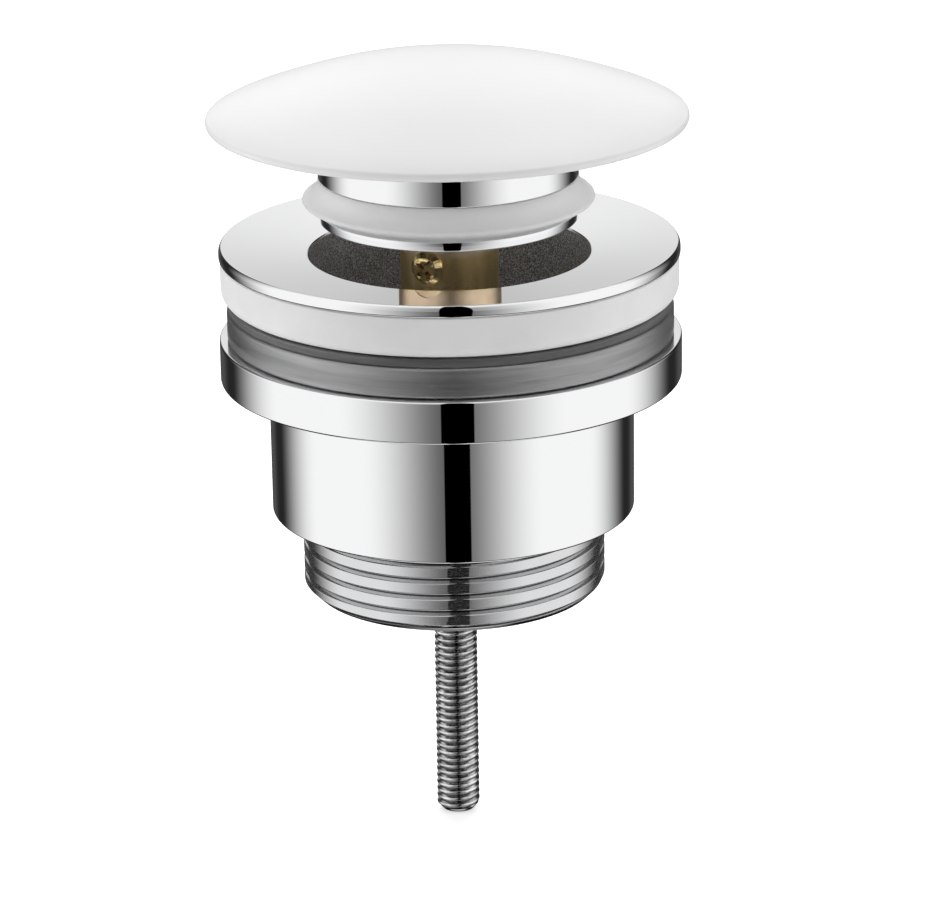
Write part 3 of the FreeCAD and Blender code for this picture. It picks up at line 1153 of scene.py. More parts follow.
def fit(
    piece: bpy.types.Object,
    finish: bpy.types.Material,
    body: str,
    nodes: Sequence[str] = (),
) -> bpy.types.Object:
    """Finish a new piece and bind it to its body.

    Args:
        piece: The new piece.
        finish: Its material.
        body: The body that it rides on.
        nodes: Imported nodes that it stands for.

    Returns:
        The same piece.
    """
    piece.data.materials.clear()
    piece.data.materials.append(finish)
    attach(piece, body)
    if nodes:
        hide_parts(*nodes)
    log.info("%s: %d faces on %s", piece.name, len(piece.data.polygons), body)
    return piece


def keep(node: str, finish: bpy.types.Material) -> None:
    """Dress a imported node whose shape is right."""
    dress(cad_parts[node], finish)
    log.info("%s: packed node, dressed", node)


@dataclass
class Bridge:
    """Straight arms from a hub to a bore, the first one at the back."""

    arm_width: float
    span: float
    bottom: float
    top: float
    hub_dia: float
    hub_bottom: float
    hub_top: float
    bore_dia: float
    hub_rounding: float
    arms: int = 3
    edge: float = 0.6 * MM
    bore_rounding: float = 0.2 * MM

    def build(self, name: str) -> bpy.types.Object:
        """Model the arms and the hub as one closed piece.

        Args:
            name: Name of the new piece.

        Returns:
            The bridge, with its place in its mesh.
        """
        hub = Lathe(steps=SMALL_STEPS).turn(name, [
            Corner(self.bore_dia / 2, self.hub_bottom, self.bore_rounding),
            Corner(self.hub_dia / 2, self.hub_bottom, self.hub_rounding),
            Corner(self.hub_dia / 2, self.hub_top, self.hub_rounding),
            Corner(self.bore_dia / 2, self.hub_top, self.bore_rounding),
        ])
        start = (self.hub_dia + self.bore_dia) / 4
        arms = []
        for turn in range(self.arms):
            arms.append(self._arm(start, math.radians(90 + 360 / self.arms * turn)))
        for arm in arms:
            hub = combine(hub, arm, "UNION")
        return smooth(hub)

    def _arm(self, start: float, azimuth: float) -> bpy.types.Object:
        """One arm: a block at its size and place with rounded long edges.

        Args:
            start: Distance from the axis where the arm starts.
            azimuth: Its direction in radians.

        Returns:
            The arm.
        """
        deselect()
        length = self.span / 2 - start
        centre = (start + length / 2, 0, (self.bottom + self.top) / 2)
        bpy.ops.mesh.primitive_cube_add(size=1, location=centre)
        arm = bpy.context.object
        arm.name = "arm"
        arm.scale = (length, self.arm_width, self.top - self.bottom)
        bpy.ops.object.transform_apply(location=True, scale=True)
        edit(arm, "EDGE")
        pick_edges(arm, lambda edge: abs(edge.verts[0].co.x - edge.verts[1].co.x) > NEAR)
        bpy.ops.mesh.bevel(offset=self.edge, segments=5, affect="EDGES")
        close_edit()
        arm.rotation_euler.z = azimuth
        choose(arm)
        bpy.ops.object.transform_apply(rotation=True)
        return arm


@dataclass
class Cover:
    """Ceramic mushroom cover with its brass bush and soft washer."""

    def build(self, finishes: Finishes) -> None:
        """Dress the cover and its fixings.

        Args:
            finishes: The part's finishes.
        """
        keep("ceramic_cap", finishes.ceramic)
        keep("cap_insert", finishes.brass)
        keep("cap_cushion", finishes.silicone)


@dataclass
class Plug:
    """Chromed cup with its silicone lip seal and retainer ring."""

    wall: float = 3.9 * MM
    plate: float = 2.4 * MM
    groove: float = 1.9 * MM
    edge: float = 0.3 * MM
    seat_gap: float = 0.05 * MM
    face_gap: float = 0.02 * MM
    hub_dia: float = 17.2 * MM
    neck_dia: float = 12.04 * MM
    spigot_dia: float = 10.0 * MM
    lip_root: float = 1.93 * MM
    nose_height: float = 1.2 * MM
    nose_radius: float = 0.35 * MM
    flank_lift: float = 0.5 * MM
    flank_start: float = 0.15 * MM
    retainer_chamfer: float = 0.45 * MM
    socket_depth: float = 4.0 * MM
    rounding: float = 0.2 * MM
    hub_rounding: float = 0.3 * MM
    hollow_rounding: float = 0.8 * MM
    mouth_rounding: float = 0.15 * MM
    spigot_rounding: float = 0.6 * MM
    retainer_foot: float = 0.3 * MM
    chamfer_rounding: float = 0.06 * MM
    flank_spans: int = 14
    belly_spans: int = 10

    def build(self, finishes: Finishes) -> None:
        """Model the cup, seal and retainer.

        Args:
            finishes: The part's finishes.
        """
        fit(self._cup(), finishes.chrome, "plug", ["plug_cup"])
        fit(self._retainer(), finishes.chrome, "plug", ["seal_retainer"])
        fit(self._seal(), finishes.silicone, "plug", ["plug_seal"])

    def _cup(self) -> bpy.types.Object:
        """The turned cup, from the sleeve's socket round to the cover's spigot.

        Returns:
            The new piece, with its place in its mesh.
        """
        outer = reach("plug_cup")
        seat = outer - self.groove
        inner = outer - self.wall
        top = low("cap_cushion") - self.face_gap / 2
        plate_low = top - self.plate
        seal_top = high("plug_seal") + self.seat_gap
        hub_foot = high("cartridge_sleeve") - self.socket_depth
        bore_top = high("cartridge_sleeve") + self.face_gap
        return smooth(Lathe().turn("turned_cup", [
            Corner(self.neck_dia / 2, bore_top),
            Corner(self.neck_dia / 2, hub_foot, self.rounding),
            Corner(self.hub_dia / 2, hub_foot, self.hub_rounding),
            Corner(self.hub_dia / 2, plate_low, self.hollow_rounding),
            Corner(inner, plate_low, self.hollow_rounding),
            Corner(inner, low("plug_cup"), self.mouth_rounding),
            Corner(seat, low("plug_cup"), self.rounding),
            Corner(seat, seal_top),
            Corner(outer, seal_top, self.rounding),
            Corner(outer, top, self.edge),
            Corner(self.spigot_dia / 2, top),
            Corner(self.spigot_dia / 2, high("plug_cup"), self.spigot_rounding),
        ], Side.SOLID))

    def _retainer(self) -> bpy.types.Object:
        """The ring under the seal, chamfered above and rounded at its foot.

        Returns:
            The new piece, with its place in its mesh.
        """
        inner = reach("plug_cup") - self.groove + self.face_gap
        outer = reach("seal_retainer")
        bottom = low("seal_retainer")
        top = high("seal_retainer")
        return smooth(Lathe().turn("seal_clamp_ring", [
            Corner(inner, bottom + self.retainer_foot),
            Corner(inner + self.retainer_foot, bottom),
            Corner(outer, bottom, self.retainer_foot),
            Corner(outer, top - self.retainer_chamfer, self.chamfer_rounding),
            Corner(outer - self.retainer_chamfer, top, self.chamfer_rounding),
            Corner(inner, top),
        ]))

    def _seal(self) -> bpy.types.Object:
        """The lip seal: a thin tongue, hollow above, between cup and retainer.

        Returns:
            The new piece, with its place in its mesh.
        """
        root = reach("plug_cup") - self.groove + self.face_gap
        shoulder = root + self.lip_root
        nose = reach("plug_seal")
        bottom = low("plug_seal")
        top = high("plug_seal")
        level = bottom + self.nose_height
        small = self.nose_radius
        centre = Vector((nose - small, level))
        start = Vector((shoulder + self.flank_start, level + small + self.flank_lift))
        crown = centre + Vector((0, small))
        upper = curve((Vector((shoulder, top)), start, crown), self.flank_spans)
        belly = Vector(((centre.x + shoulder) / 2, bottom + small))
        foot = Vector((shoulder, bottom))
        lower = curve((centre - Vector((0, small)), belly, foot), self.belly_spans)
        lip = []
        for degrees in range(75, -76, -15):
            turn = math.radians(degrees)
            lip.append(centre + Vector((math.cos(turn), math.sin(turn))) * small)
        corners = [Corner(root, bottom), Corner(root, top)]
        corners += [Corner(spot.x, spot.y) for spot in upper + lip + lower]
        return smooth(Lathe().turn("lip_seal", corners), angle=50)


def curve(poles: tuple[Vector, Vector, Vector], count: int) -> list[Vector]:
    """Points along a curve that leaves its first pole towards the second and ends at the third.

    Args:
        poles: Its three control points.
        count: How many spans it is divided into.

    Returns:
        The points from end to end.
    """
    points = []
    for step in range(count + 1):
        t = step / count
        s = 1 - t
        points.append(poles[0] * (s * s) + poles[1] * (2 * s * t) + poles[2] * (t * t))
    return points


@dataclass
class Cartridge:
    """Brass sleeve with its guide screw, over the core with the cam track and the spring."""

    bore_dia: float = 10.12 * MM
    neck_dia: float = 12.0 * MM
    neck: float = 4.0 * MM
    roof: float = 1.9 * MM
    azimuth: float = 26.7
    screw_drop: float = 2.15 * MM
    head_dia: float = 4.7 * MM
    head_height: float = 1.35 * MM
    spot_depth: float = 0.3 * MM
    spot_margin: float = 0.08 * MM
    shank_dia: float = 2.5 * MM
    hole_from: float = 3.036 * MM
    screw_steps: int = 64
    pin_steps: int = 48
    pin_dia: float = 1.6 * MM
    pin_reach: float = 3.95 * MM
    recess_width: float = 0.86 * MM
    recess_span: float = 3.5 * MM
    recess_depth: float = 1.0 * MM
    recess_turn: float = 47.0
    recess_edge: float = 0.07 * MM
    recess_mouth: tuple[float, float] = (1.35, 1.3)
    recess_floor: tuple[float, float] = (0.42, 0.5)
    rim_bend: float = 35.0
    rim_above_floor: float = 0.05 * MM
    rim_inside_head: float = 0.2 * MM
    rim_looks_up: float = 0.6
    mouth_rounding: float = 0.15 * MM
    foot_rounding: float = 0.3 * MM
    shoulder_rounding: float = 0.2 * MM
    neck_rounding: float = 0.6 * MM
    seat_gap: float = 0.02 * MM
    head_side: float = 0.5 * MM
    head_foot_rounding: float = 0.1 * MM
    head_side_rounding: float = 0.3 * MM
    head_top_rounding: float = 0.9 * MM
    head_flat: float = 0.62
    shank_gap: float = 0.1 * MM
    pin_rounding: float = 0.2 * MM
    pin_overlap: float = 0.02 * MM
    wire: float = 0.8 * MM
    wire_sides: int = 16
    turns: float = 3.0
    turn_steps: int = 160

    def build(self, finishes: Finishes) -> None:
        """Model the sleeve, screw and spring, and dress the core.

        Args:
            finishes: The part's finishes.
        """
        fit(self._sleeve(), finishes.brass, "plug", ["cartridge_sleeve"])
        fit(self._screw(), finishes.screw_brass, "plug", ["guide_screw"])
        spring = fit(
            self._spring(), finishes.spring_steel, "flange_body", ["return_spring"]
        )
        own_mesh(spring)
        keep("spring_washer", finishes.spring_steel)
        keep("cam_core", finishes.brass)
        keep("core_washer", finishes.fibre)

    def _sleeve(self) -> bpy.types.Object:
        """The sleeve, with the spot face and hole of the guide screw.

        Returns:
            The new piece, with its place in its mesh.
        """
        outer = reach("cartridge_sleeve")
        bottom = low("cartridge_sleeve")
        top = high("cartridge_sleeve")
        neck_low = top - self.neck
        sleeve = Lathe(steps=SMALL_STEPS).turn("brass_sleeve", [
            Corner(self.bore_dia / 2, top - self.roof),
            Corner(self.bore_dia / 2, bottom, self.mouth_rounding),
            Corner(outer, bottom, self.foot_rounding),
            Corner(outer, neck_low, self.shoulder_rounding),
            Corner(self.neck_dia / 2, neck_low),
            Corner(self.neck_dia / 2, top, self.neck_rounding),
        ], Side.SOLID)
        spot_r = self.head_dia / 2 + self.spot_margin
        spot = Lathe(steps=self.screw_steps).turn("spot_face", [
            Corner(self.shank_dia / 2, self.hole_from),
            Corner(self.shank_dia / 2, outer - self.spot_depth),
            Corner(spot_r, outer - self.spot_depth),
            Corner(spot_r, outer + SPARE),
        ], Side.SOLID)
        self._to_screw_place(spot)
        return smooth(combine(sleeve, spot, "DIFFERENCE"), angle=32)

    def _screw_level(self) -> float:
        """Level of the guide screw's head."""
        return high("top_flange") - self.screw_drop

    def _to_screw_place(self, piece: bpy.types.Object) -> None:
        """Tip a piece from +Z to the guide screw's direction and level.

        Args:
            piece: A piece that was turned about the axis.
        """
        choose(piece)
        piece.rotation_euler = (0, math.radians(90), math.radians(-90 - self.azimuth))
        piece.location.z = self._screw_level()
        bpy.ops.object.transform_apply(location=True, rotation=True)

    def _screw(self) -> bpy.types.Object:
        """The pan head screw with a cross recess and a turned-down tip.

        Returns:
            The new piece, with its place in its mesh.
        """
        seat = reach("cartridge_sleeve") - self.spot_depth
        top = seat + self.head_height
        head_r = self.head_dia / 2
        foot = seat + self.seat_gap
        screw = Lathe(steps=self.screw_steps, arc_segments=8).turn("cross_screw", [
            Corner(self.shank_dia / 2, self.bore_dia / 2 + self.shank_gap),
            Corner(self.shank_dia / 2, foot),
            Corner(head_r, foot, self.head_foot_rounding),
            Corner(head_r, seat + self.head_side, self.head_side_rounding),
            Corner(head_r * self.head_flat, top, self.head_top_rounding),
        ], Side.SOLID)
        for turn in (self.recess_turn, self.recess_turn + 90):
            screw = combine(screw, self._recess(top, turn), "DIFFERENCE")
        self._ease_recess(screw, top)
        screw = combine(screw, self._pin(), "UNION")
        self._to_screw_place(screw)
        screw.visible_glossy = False
        return smooth(screw, angle=30)

    def _pin(self) -> bpy.types.Object:
        """The screw's pin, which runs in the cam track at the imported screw's level.

        Returns:
            The pin, still upright like the screw.
        """
        level = (low("guide_screw") + high("guide_screw")) / 2
        end = self.bore_dia / 2 + self.shank_gap + self.pin_overlap
        pin = Lathe(steps=self.pin_steps).turn("pin", [
            Corner(self.pin_dia / 2, self.pin_reach, self.pin_rounding),
            Corner(self.pin_dia / 2, end),
        ], Side.SOLID)
        choose(pin)
        pin.location.x = self._screw_level() - level
        bpy.ops.object.transform_apply(location=True)
        return pin

    def _ease_recess(self, screw: bpy.types.Object, top: float) -> None:
        """Blunt the recess's rim, which then catches the light.

        Args:
            screw: The screw, still upright.
            top: Level of its head's top.
        """
        sharp = math.radians(self.rim_bend)
        floor = top - self.recess_depth + self.rim_above_floor
        side = self.head_dia / 2 - self.rim_inside_head

        def at_rim(edge: bmesh.types.BMEdge) -> bool:
            """Whether an edge is on the recess's rim.

            Args:
                edge: The edge.

            Returns:
                True if it is sharp, inside the head's side and beside a face that looks up.
            """
            if edge.calc_face_angle(0.0) < sharp:
                return False
            tops = [vert.co.z > floor for vert in edge.verts]
            inner = [math.hypot(vert.co.x, vert.co.y) < side for vert in edge.verts]
            faces = [face.normal.z for face in edge.link_faces]
            return all(tops) and all(inner) and max(faces) > self.rim_looks_up

        edit(screw, "EDGE")
        picked = pick_edges(screw, at_rim)
        bpy.ops.mesh.bevel(offset=self.recess_edge, segments=2, affect="EDGES", clamp_overlap=True)
        close_edit()
        log.info("recess: %d rim edges blunted", picked)

    def _recess(self, top: float, turn: float) -> bpy.types.Object:
        """One slot of the cross, narrower at its floor.

        Args:
            top: Level of the head's top.
            turn: Direction of the slot in degrees.

        Returns:
            The tool that cuts the slot.
        """
        deselect()
        bpy.ops.mesh.primitive_cube_add(size=1, location=(0, 0, top))
        slot = bpy.context.object
        wider, thicker = self.recess_mouth
        slot.scale = (self.recess_span * wider, self.recess_width * thicker, self.recess_depth * 2)
        bpy.ops.object.transform_apply(location=True, scale=True)
        edit(slot, "FACE")
        mesh = bmesh.from_edit_mesh(slot.data)
        for face in mesh.faces:
            face.select_set(face.normal.z < -0.5)
        bmesh.update_edit_mesh(slot.data)
        floor = (0, 0, top - self.recess_depth)
        bpy.ops.transform.resize(value=(*self.recess_floor, 1), center_override=floor)
        close_edit()
        slot.rotation_euler.z = math.radians(turn)
        choose(slot)
        bpy.ops.object.transform_apply(rotation=True)
        return slot

    def _spring(self) -> bpy.types.Object:
        """The coil spring: a wire section screwed up about the axis, with its ends closed.

        Returns:
            The new piece, with its place in its mesh.
        """
        deselect()
        coil = reach("return_spring") - self.wire / 2
        bottom = low("return_spring") + self.wire / 2
        rise = high("return_spring") - low("return_spring") - self.wire
        bpy.ops.mesh.primitive_circle_add(
            vertices=self.wire_sides,
            radius=self.wire / 2,
            location=(coil, 0, bottom),
            rotation=(math.pi / 2, 0, 0),
        )
        spring = bpy.context.object
        spring.name = "coil_spring"
        bpy.ops.object.transform_apply(location=True, rotation=True)
        bpy.ops.object.modifier_add(type="SCREW")
        sweep = spring.modifiers[-1]
        sweep.angle = TURN * self.turns
        sweep.screw_offset = rise
        sweep.steps = self.turn_steps
        sweep.render_steps = self.turn_steps
        sweep.use_merge_vertices = False
        bpy.ops.object.modifier_apply(modifier=sweep.name)
        edit(spring, "EDGE")
        pick_edges(spring, lambda edge: edge.is_boundary)
        bpy.ops.mesh.edge_face_add()
        bpy.ops.mesh.select_all(action="SELECT")
        bpy.ops.mesh.normals_make_consistent(inside=False)
        close_edit()
        return smooth(spring)


@dataclass
class Flange:
    """Mirror flange with its skirt and bridge, on a thick white gasket."""

    hole_dia: float = 38.5 * MM
    skirt_dia: float = 43.4 * MM
    rim: float = 1.6 * MM
    rim_gap: float = 0.02 * MM
    dish: float = 1.44 * MM
    crest_inset: float = 0.37 * MM
    crest_rounding: float = 0.2 * MM
    face_rounding: float = 1.0 * MM
    low_rounding: float = 0.3 * MM
    skirt_low: float = -17.0 * MM
    skirt_chamfer: float = 0.8 * MM
    gasket_low_rounding: float = 1.6 * MM
    gasket_top_rounding: float = 0.3 * MM
    bridge_height: float = 3.6 * MM
    core_bore: float = 8.04 * MM
    bridge_overlap: float = 0.5 * MM
    arm_width: float = 4.2 * MM
    hub_dia: float = 14.0 * MM
    hub_rounding: float = 0.6 * MM
    washer_gap: float = 0.02 * MM
    rounding: float = 0.2 * MM
    hole_rounding: float = 0.3 * MM
    rim_overhang: float = 0.15 * MM
    gasket_clearance: float = 0.3 * MM

    def build(self, finishes: Finishes) -> None:
        """Model the flange, its bridge and the gasket.

        Args:
            finishes: The part's finishes.
        """
        fit(self._plate(), finishes.cast_bore, "flange_body", ["top_flange"])
        bridge = Bridge(
            arm_width=self.arm_width,
            span=self.hole_dia + 2 * self.bridge_overlap,
            bottom=self.skirt_low,
            top=self.skirt_low + self.bridge_height,
            hub_dia=self.hub_dia,
            hub_bottom=low("top_flange"),
            hub_top=low("core_washer") - self.washer_gap,
            bore_dia=self.core_bore,
            hub_rounding=self.hub_rounding,
        ).build("flange_bridge")
        fit(bridge, finishes.chrome, "flange_body")
        fit(self._gasket(), finishes.rubber, "flange_body", ["upper_gasket"])

    def _plate(self) -> bpy.types.Object:
        """The dished plate with its crested rim and skirt.

        Returns:
            The new piece, with its place in its mesh.
        """
        rim = reach("upper_gasket") + self.rim_overhang
        under = high("upper_gasket") + self.rim_gap
        top = under + self.rim
        hole = self.hole_dia / 2
        skirt = self.skirt_dia / 2
        return smooth(Lathe(arc_segments=8).turn("flange_plate", [
            Corner(hole, self.skirt_low, self.rounding),
            Corner(skirt - self.skirt_chamfer, self.skirt_low),
            Corner(skirt, self.skirt_low + self.skirt_chamfer),
            Corner(skirt, under, self.rounding),
            Corner(rim, under, self.low_rounding),
            Corner(rim, top - self.crest_inset, self.face_rounding),
            Corner(rim - self.crest_inset, top, self.crest_rounding),
            Corner(hole, top - self.dish, self.hole_rounding),
        ]))

    def _gasket(self) -> bpy.types.Object:
        """The thick ring, rounded more at its foot.

        Returns:
            The new piece, with its place in its mesh.
        """
        outer = reach("upper_gasket")
        inner = self.skirt_dia / 2 + self.gasket_clearance
        return smooth(Lathe().turn("thick_gasket", [
            Corner(inner, low("upper_gasket"), self.gasket_top_rounding),
            Corner(outer, low("upper_gasket"), self.gasket_low_rounding),
            Corner(outer, high("upper_gasket"), self.gasket_top_rounding),
            Corner(inner, high("upper_gasket"), self.rounding),
        ]))


@dataclass
class Packing:
    """Two see-through rings between the basin's underside and the clamp ring."""

    inner_dia: float = 44.2 * MM
    rounding: float = 0.3 * MM
    slip_rounding: float = 0.55 * MM
    lip_dia: float = 47.4 * MM
    lip_foot_dia: float = 45.48 * MM
    inner_rounding: float = 0.2 * MM
    lip_rounding: float = 0.15 * MM
    seat_gap: float = 0.05 * MM

    def build(self, finishes: Finishes) -> None:
        """Model both rings.

        Args:
            finishes: The part's finishes.
        """
        fit(self._soft(), finishes.soft_packing, "packing", ["lower_gasket"])
        fit(self._slip(), finishes.clear_packing, "packing", ["slip_washer"])

    def _soft(self) -> bpy.types.Object:
        """The soft upper ring.

        Returns:
            The new piece, with its place in its mesh.
        """
        outer = reach("lower_gasket")
        inner = self.inner_dia / 2
        return smooth(Lathe().turn("soft_ring", [
            Corner(inner, low("lower_gasket"), self.inner_rounding),
            Corner(outer, low("lower_gasket"), self.rounding),
            Corner(outer, high("lower_gasket"), self.rounding),
            Corner(inner, high("lower_gasket"), self.inner_rounding),
        ]))

    def _slip(self) -> bpy.types.Object:
        """The hard lower ring with its centring lip.

        Returns:
            The new piece, with its place in its mesh.
        """
        outer = reach("slip_washer")
        inner = self.inner_dia / 2
        foot = low("slip_washer")
        seat = high("lower_cup") + self.seat_gap
        return smooth(Lathe().turn("slip_ring", [
            Corner(inner, foot, self.lip_rounding),
            Corner(self.lip_foot_dia / 2, foot, self.lip_rounding),
            Corner(self.lip_dia / 2, seat),
            Corner(outer, seat, self.slip_rounding),
            Corner(outer, high("slip_washer"), self.slip_rounding),
            Corner(inner, high("slip_washer"), self.lip_rounding),
        ]))


@dataclass
class ClampCup:
    """Clamp ring, body and threaded tail, with a bridge that holds the rod's bushing."""

    ring_height: float = 5.8 * MM
    ring_rounding: float = 0.3 * MM
    mouth_width: float = 1.6 * MM
    mouth_depth: float = 1.7 * MM
    bore_dia: float = 44.8 * MM
    body_dia: float = 50.2 * MM
    body_height: float = 19.25 * MM
    body_rounding: float = 0.3 * MM
    body_foot: float = 0.25 * MM
    tail_dia: float = 41.91 * MM
    tail_bore_dia: float = 35.6 * MM
    tail_pitch: float = 2.309 * MM
    tail_depth: float = 0.88 * MM
    tail_crest: float = 0.66
    tail_root: float = 0.05
    tail_corner: float = 0.22 * MM
    tail_steps: int = 180
    relief: float = 1.0 * MM
    relief_depth: float = 1.3 * MM
    tail_chamfer: float = 1.3 * MM
    tail_lead_in: float = 0.6 * MM
    tail_lead_depth: float = 1.2 * MM
    tail_bore_chamfer: float = 0.5 * MM
    tail_margin: float = 0.05 * MM
    throat_height: float = 4.2 * MM
    arm_width: float = 4.4 * MM
    arm_height: float = 4.6 * MM
    arm_rise: float = 0.3 * MM
    bridge_overlap: float = 0.5 * MM
    hub_dia: float = 16.0 * MM
    hub_rounding: float = 0.8 * MM
    hub_foot: float = 1.0 * MM
    hub_head: float = 1.4 * MM
    bushing_bore: float = 10.04 * MM
    mouth_rounding: float = 0.2 * MM
    mouth_edge: float = 0.1 * MM
    inside_rounding: float = 0.3 * MM
    throat_rounding: float = 0.6 * MM
    throat_slope: float = 0.75

    def build(self, finishes: Finishes) -> None:
        """Model the cup with its thread and bridge.

        Args:
            finishes: The part's finishes.
        """
        fit(self._shell(), finishes.chrome, "clamp_cup", ["lower_cup"])
        fit(self._tail(), finishes.thread_chrome, "clamp_cup")
        arm_top = self._body_low() + self.arm_rise
        bridge = Bridge(
            arm_width=self.arm_width,
            span=self.tail_bore_dia + 2 * self.bridge_overlap,
            bottom=arm_top - self.arm_height,
            top=arm_top,
            hub_dia=self.hub_dia,
            hub_bottom=arm_top - self.arm_height - self.hub_foot,
            hub_top=arm_top + self.hub_head,
            bore_dia=self.bushing_bore,
            hub_rounding=self.hub_rounding,
        ).build("cup_bridge")
        fit(bridge, finishes.chrome, "clamp_cup")
        keep("rod_bushing", finishes.brass)

    def _body_low(self) -> float:
        """Level of the body's underside."""
        return high("lower_cup") - self.ring_height - self.body_height

    def _shell(self) -> bpy.types.Object:
        """Clamp ring, body and the neck over the thread.

        Returns:
            The new piece, with its place in its mesh.
        """
        top = high("lower_cup")
        ring_low = top - self.ring_height
        body_low = self._body_low()
        bore = self.bore_dia / 2
        tail_bore = self.tail_bore_dia / 2
        neck = self.tail_dia / 2 - self.relief_depth
        throat_top = body_low + self.throat_height
        throat_low = throat_top - (bore - tail_bore) * self.throat_slope
        neck_low = body_low - self.relief
        return smooth(Lathe(arc_segments=8).turn("clamp_cup_shell", [
            Corner(bore, top - self.mouth_depth, self.mouth_rounding),
            Corner(bore + self.mouth_width, top, self.mouth_edge),
            Corner(reach("lower_cup"), top, self.ring_rounding),
            Corner(reach("lower_cup"), ring_low, self.ring_rounding),
            Corner(self.body_dia / 2, ring_low, self.inside_rounding),
            Corner(self.body_dia / 2, body_low + self.body_foot, self.body_rounding),
            Corner(neck, body_low + self.body_foot),
            Corner(neck, neck_low),
            Corner(tail_bore, neck_low),
            Corner(tail_bore, throat_low, self.throat_rounding),
            Corner(bore, throat_top, self.throat_rounding),
        ]))

    def _tail(self) -> bpy.types.Object:
        """The tail's ring, cut from a screwed bar.

        Returns:
            The new piece, with its place in its mesh.
        """
        top = self._body_low() - self.relief
        bottom = low("lower_cup")
        outer = self.tail_dia / 2
        inner = self.tail_bore_dia / 2
        bar = ThreadCutter(
            major_radius=outer,
            pitch=self.tail_pitch,
            depth=self.tail_depth,
            crest=self.tail_pitch * self.tail_crest,
            root=self.tail_pitch * self.tail_root,
            corner=self.tail_corner,
            steps=self.tail_steps,
        ).bar("tail_thread", bottom - SPARE, top + SPARE)
        clear = outer + self.tail_margin
        blank = Lathe(steps=self.tail_steps).turn("tail_blank", [
            Corner(inner, bottom + self.tail_bore_chamfer),
            Corner(inner + self.tail_bore_chamfer, bottom),
            Corner(outer - self.tail_chamfer, bottom),
            Corner(clear, bottom + self.tail_chamfer + self.tail_margin),
            Corner(clear, top - self.tail_lead_in),
            Corner(outer - self.tail_lead_depth, top),
            Corner(inner, top),
        ])
        return smooth(combine(bar, blank, "INTERSECT"), angle=32)


@dataclass
class Rod:
    """The long zinc-plated screw and its lock nut."""

    dia: float = 6.0 * MM
    pitch: float = 1.0 * MM
    depth: float = 0.55 * MM
    chamfer: float = 0.8 * MM
    foot_chamfer: float = 0.96 * MM
    crest: float = 0.34
    root: float = 0.14
    corner: float = 0.12 * MM
    steps: int = 48
    blank_steps: int = 64
    margin: float = 0.02 * MM
    end_rounding: float = 0.2 * MM

    def build(self, finishes: Finishes) -> None:
        """Model the screwed rod and dress the nut.

        Args:
            finishes: The part's finishes.
        """
        fit(self._rod(), finishes.rod_zinc, "flange_body", ["threaded_rod"])
        keep("rod_lock_nut", finishes.zinc)

    def _rod(self) -> bpy.types.Object:
        """The rod, threaded all along and chamfered at both ends.

        Returns:
            The new piece, with its place in its mesh.
        """
        bottom = low("threaded_rod")
        top = high("threaded_rod")
        outer = self.dia / 2
        bar = ThreadCutter(
            major_radius=outer,
            pitch=self.pitch,
            depth=self.depth,
            crest=self.pitch * self.crest,
            root=self.pitch * self.root,
            corner=self.corner,
            steps=self.steps,
        ).bar("screwed_rod", bottom - SPARE, top + SPARE)
        blank = Lathe(steps=self.blank_steps).turn("rod_blank", [
            Corner(outer - self.chamfer, bottom, self.end_rounding),
            Corner(outer + self.margin, bottom + self.foot_chamfer),
            Corner(outer + self.margin, top - self.chamfer),
            Corner(outer - self.chamfer, top),
        ], Side.SOLID)
        return smooth(combine(bar, blank, "INTERSECT"), angle=40)


@dataclass(frozen=True)
class Lamp:
    """A flat lamp that points at the origin."""

    name: str
    place: tuple[float, float, float]
    width: float
    depth: float
    power: float


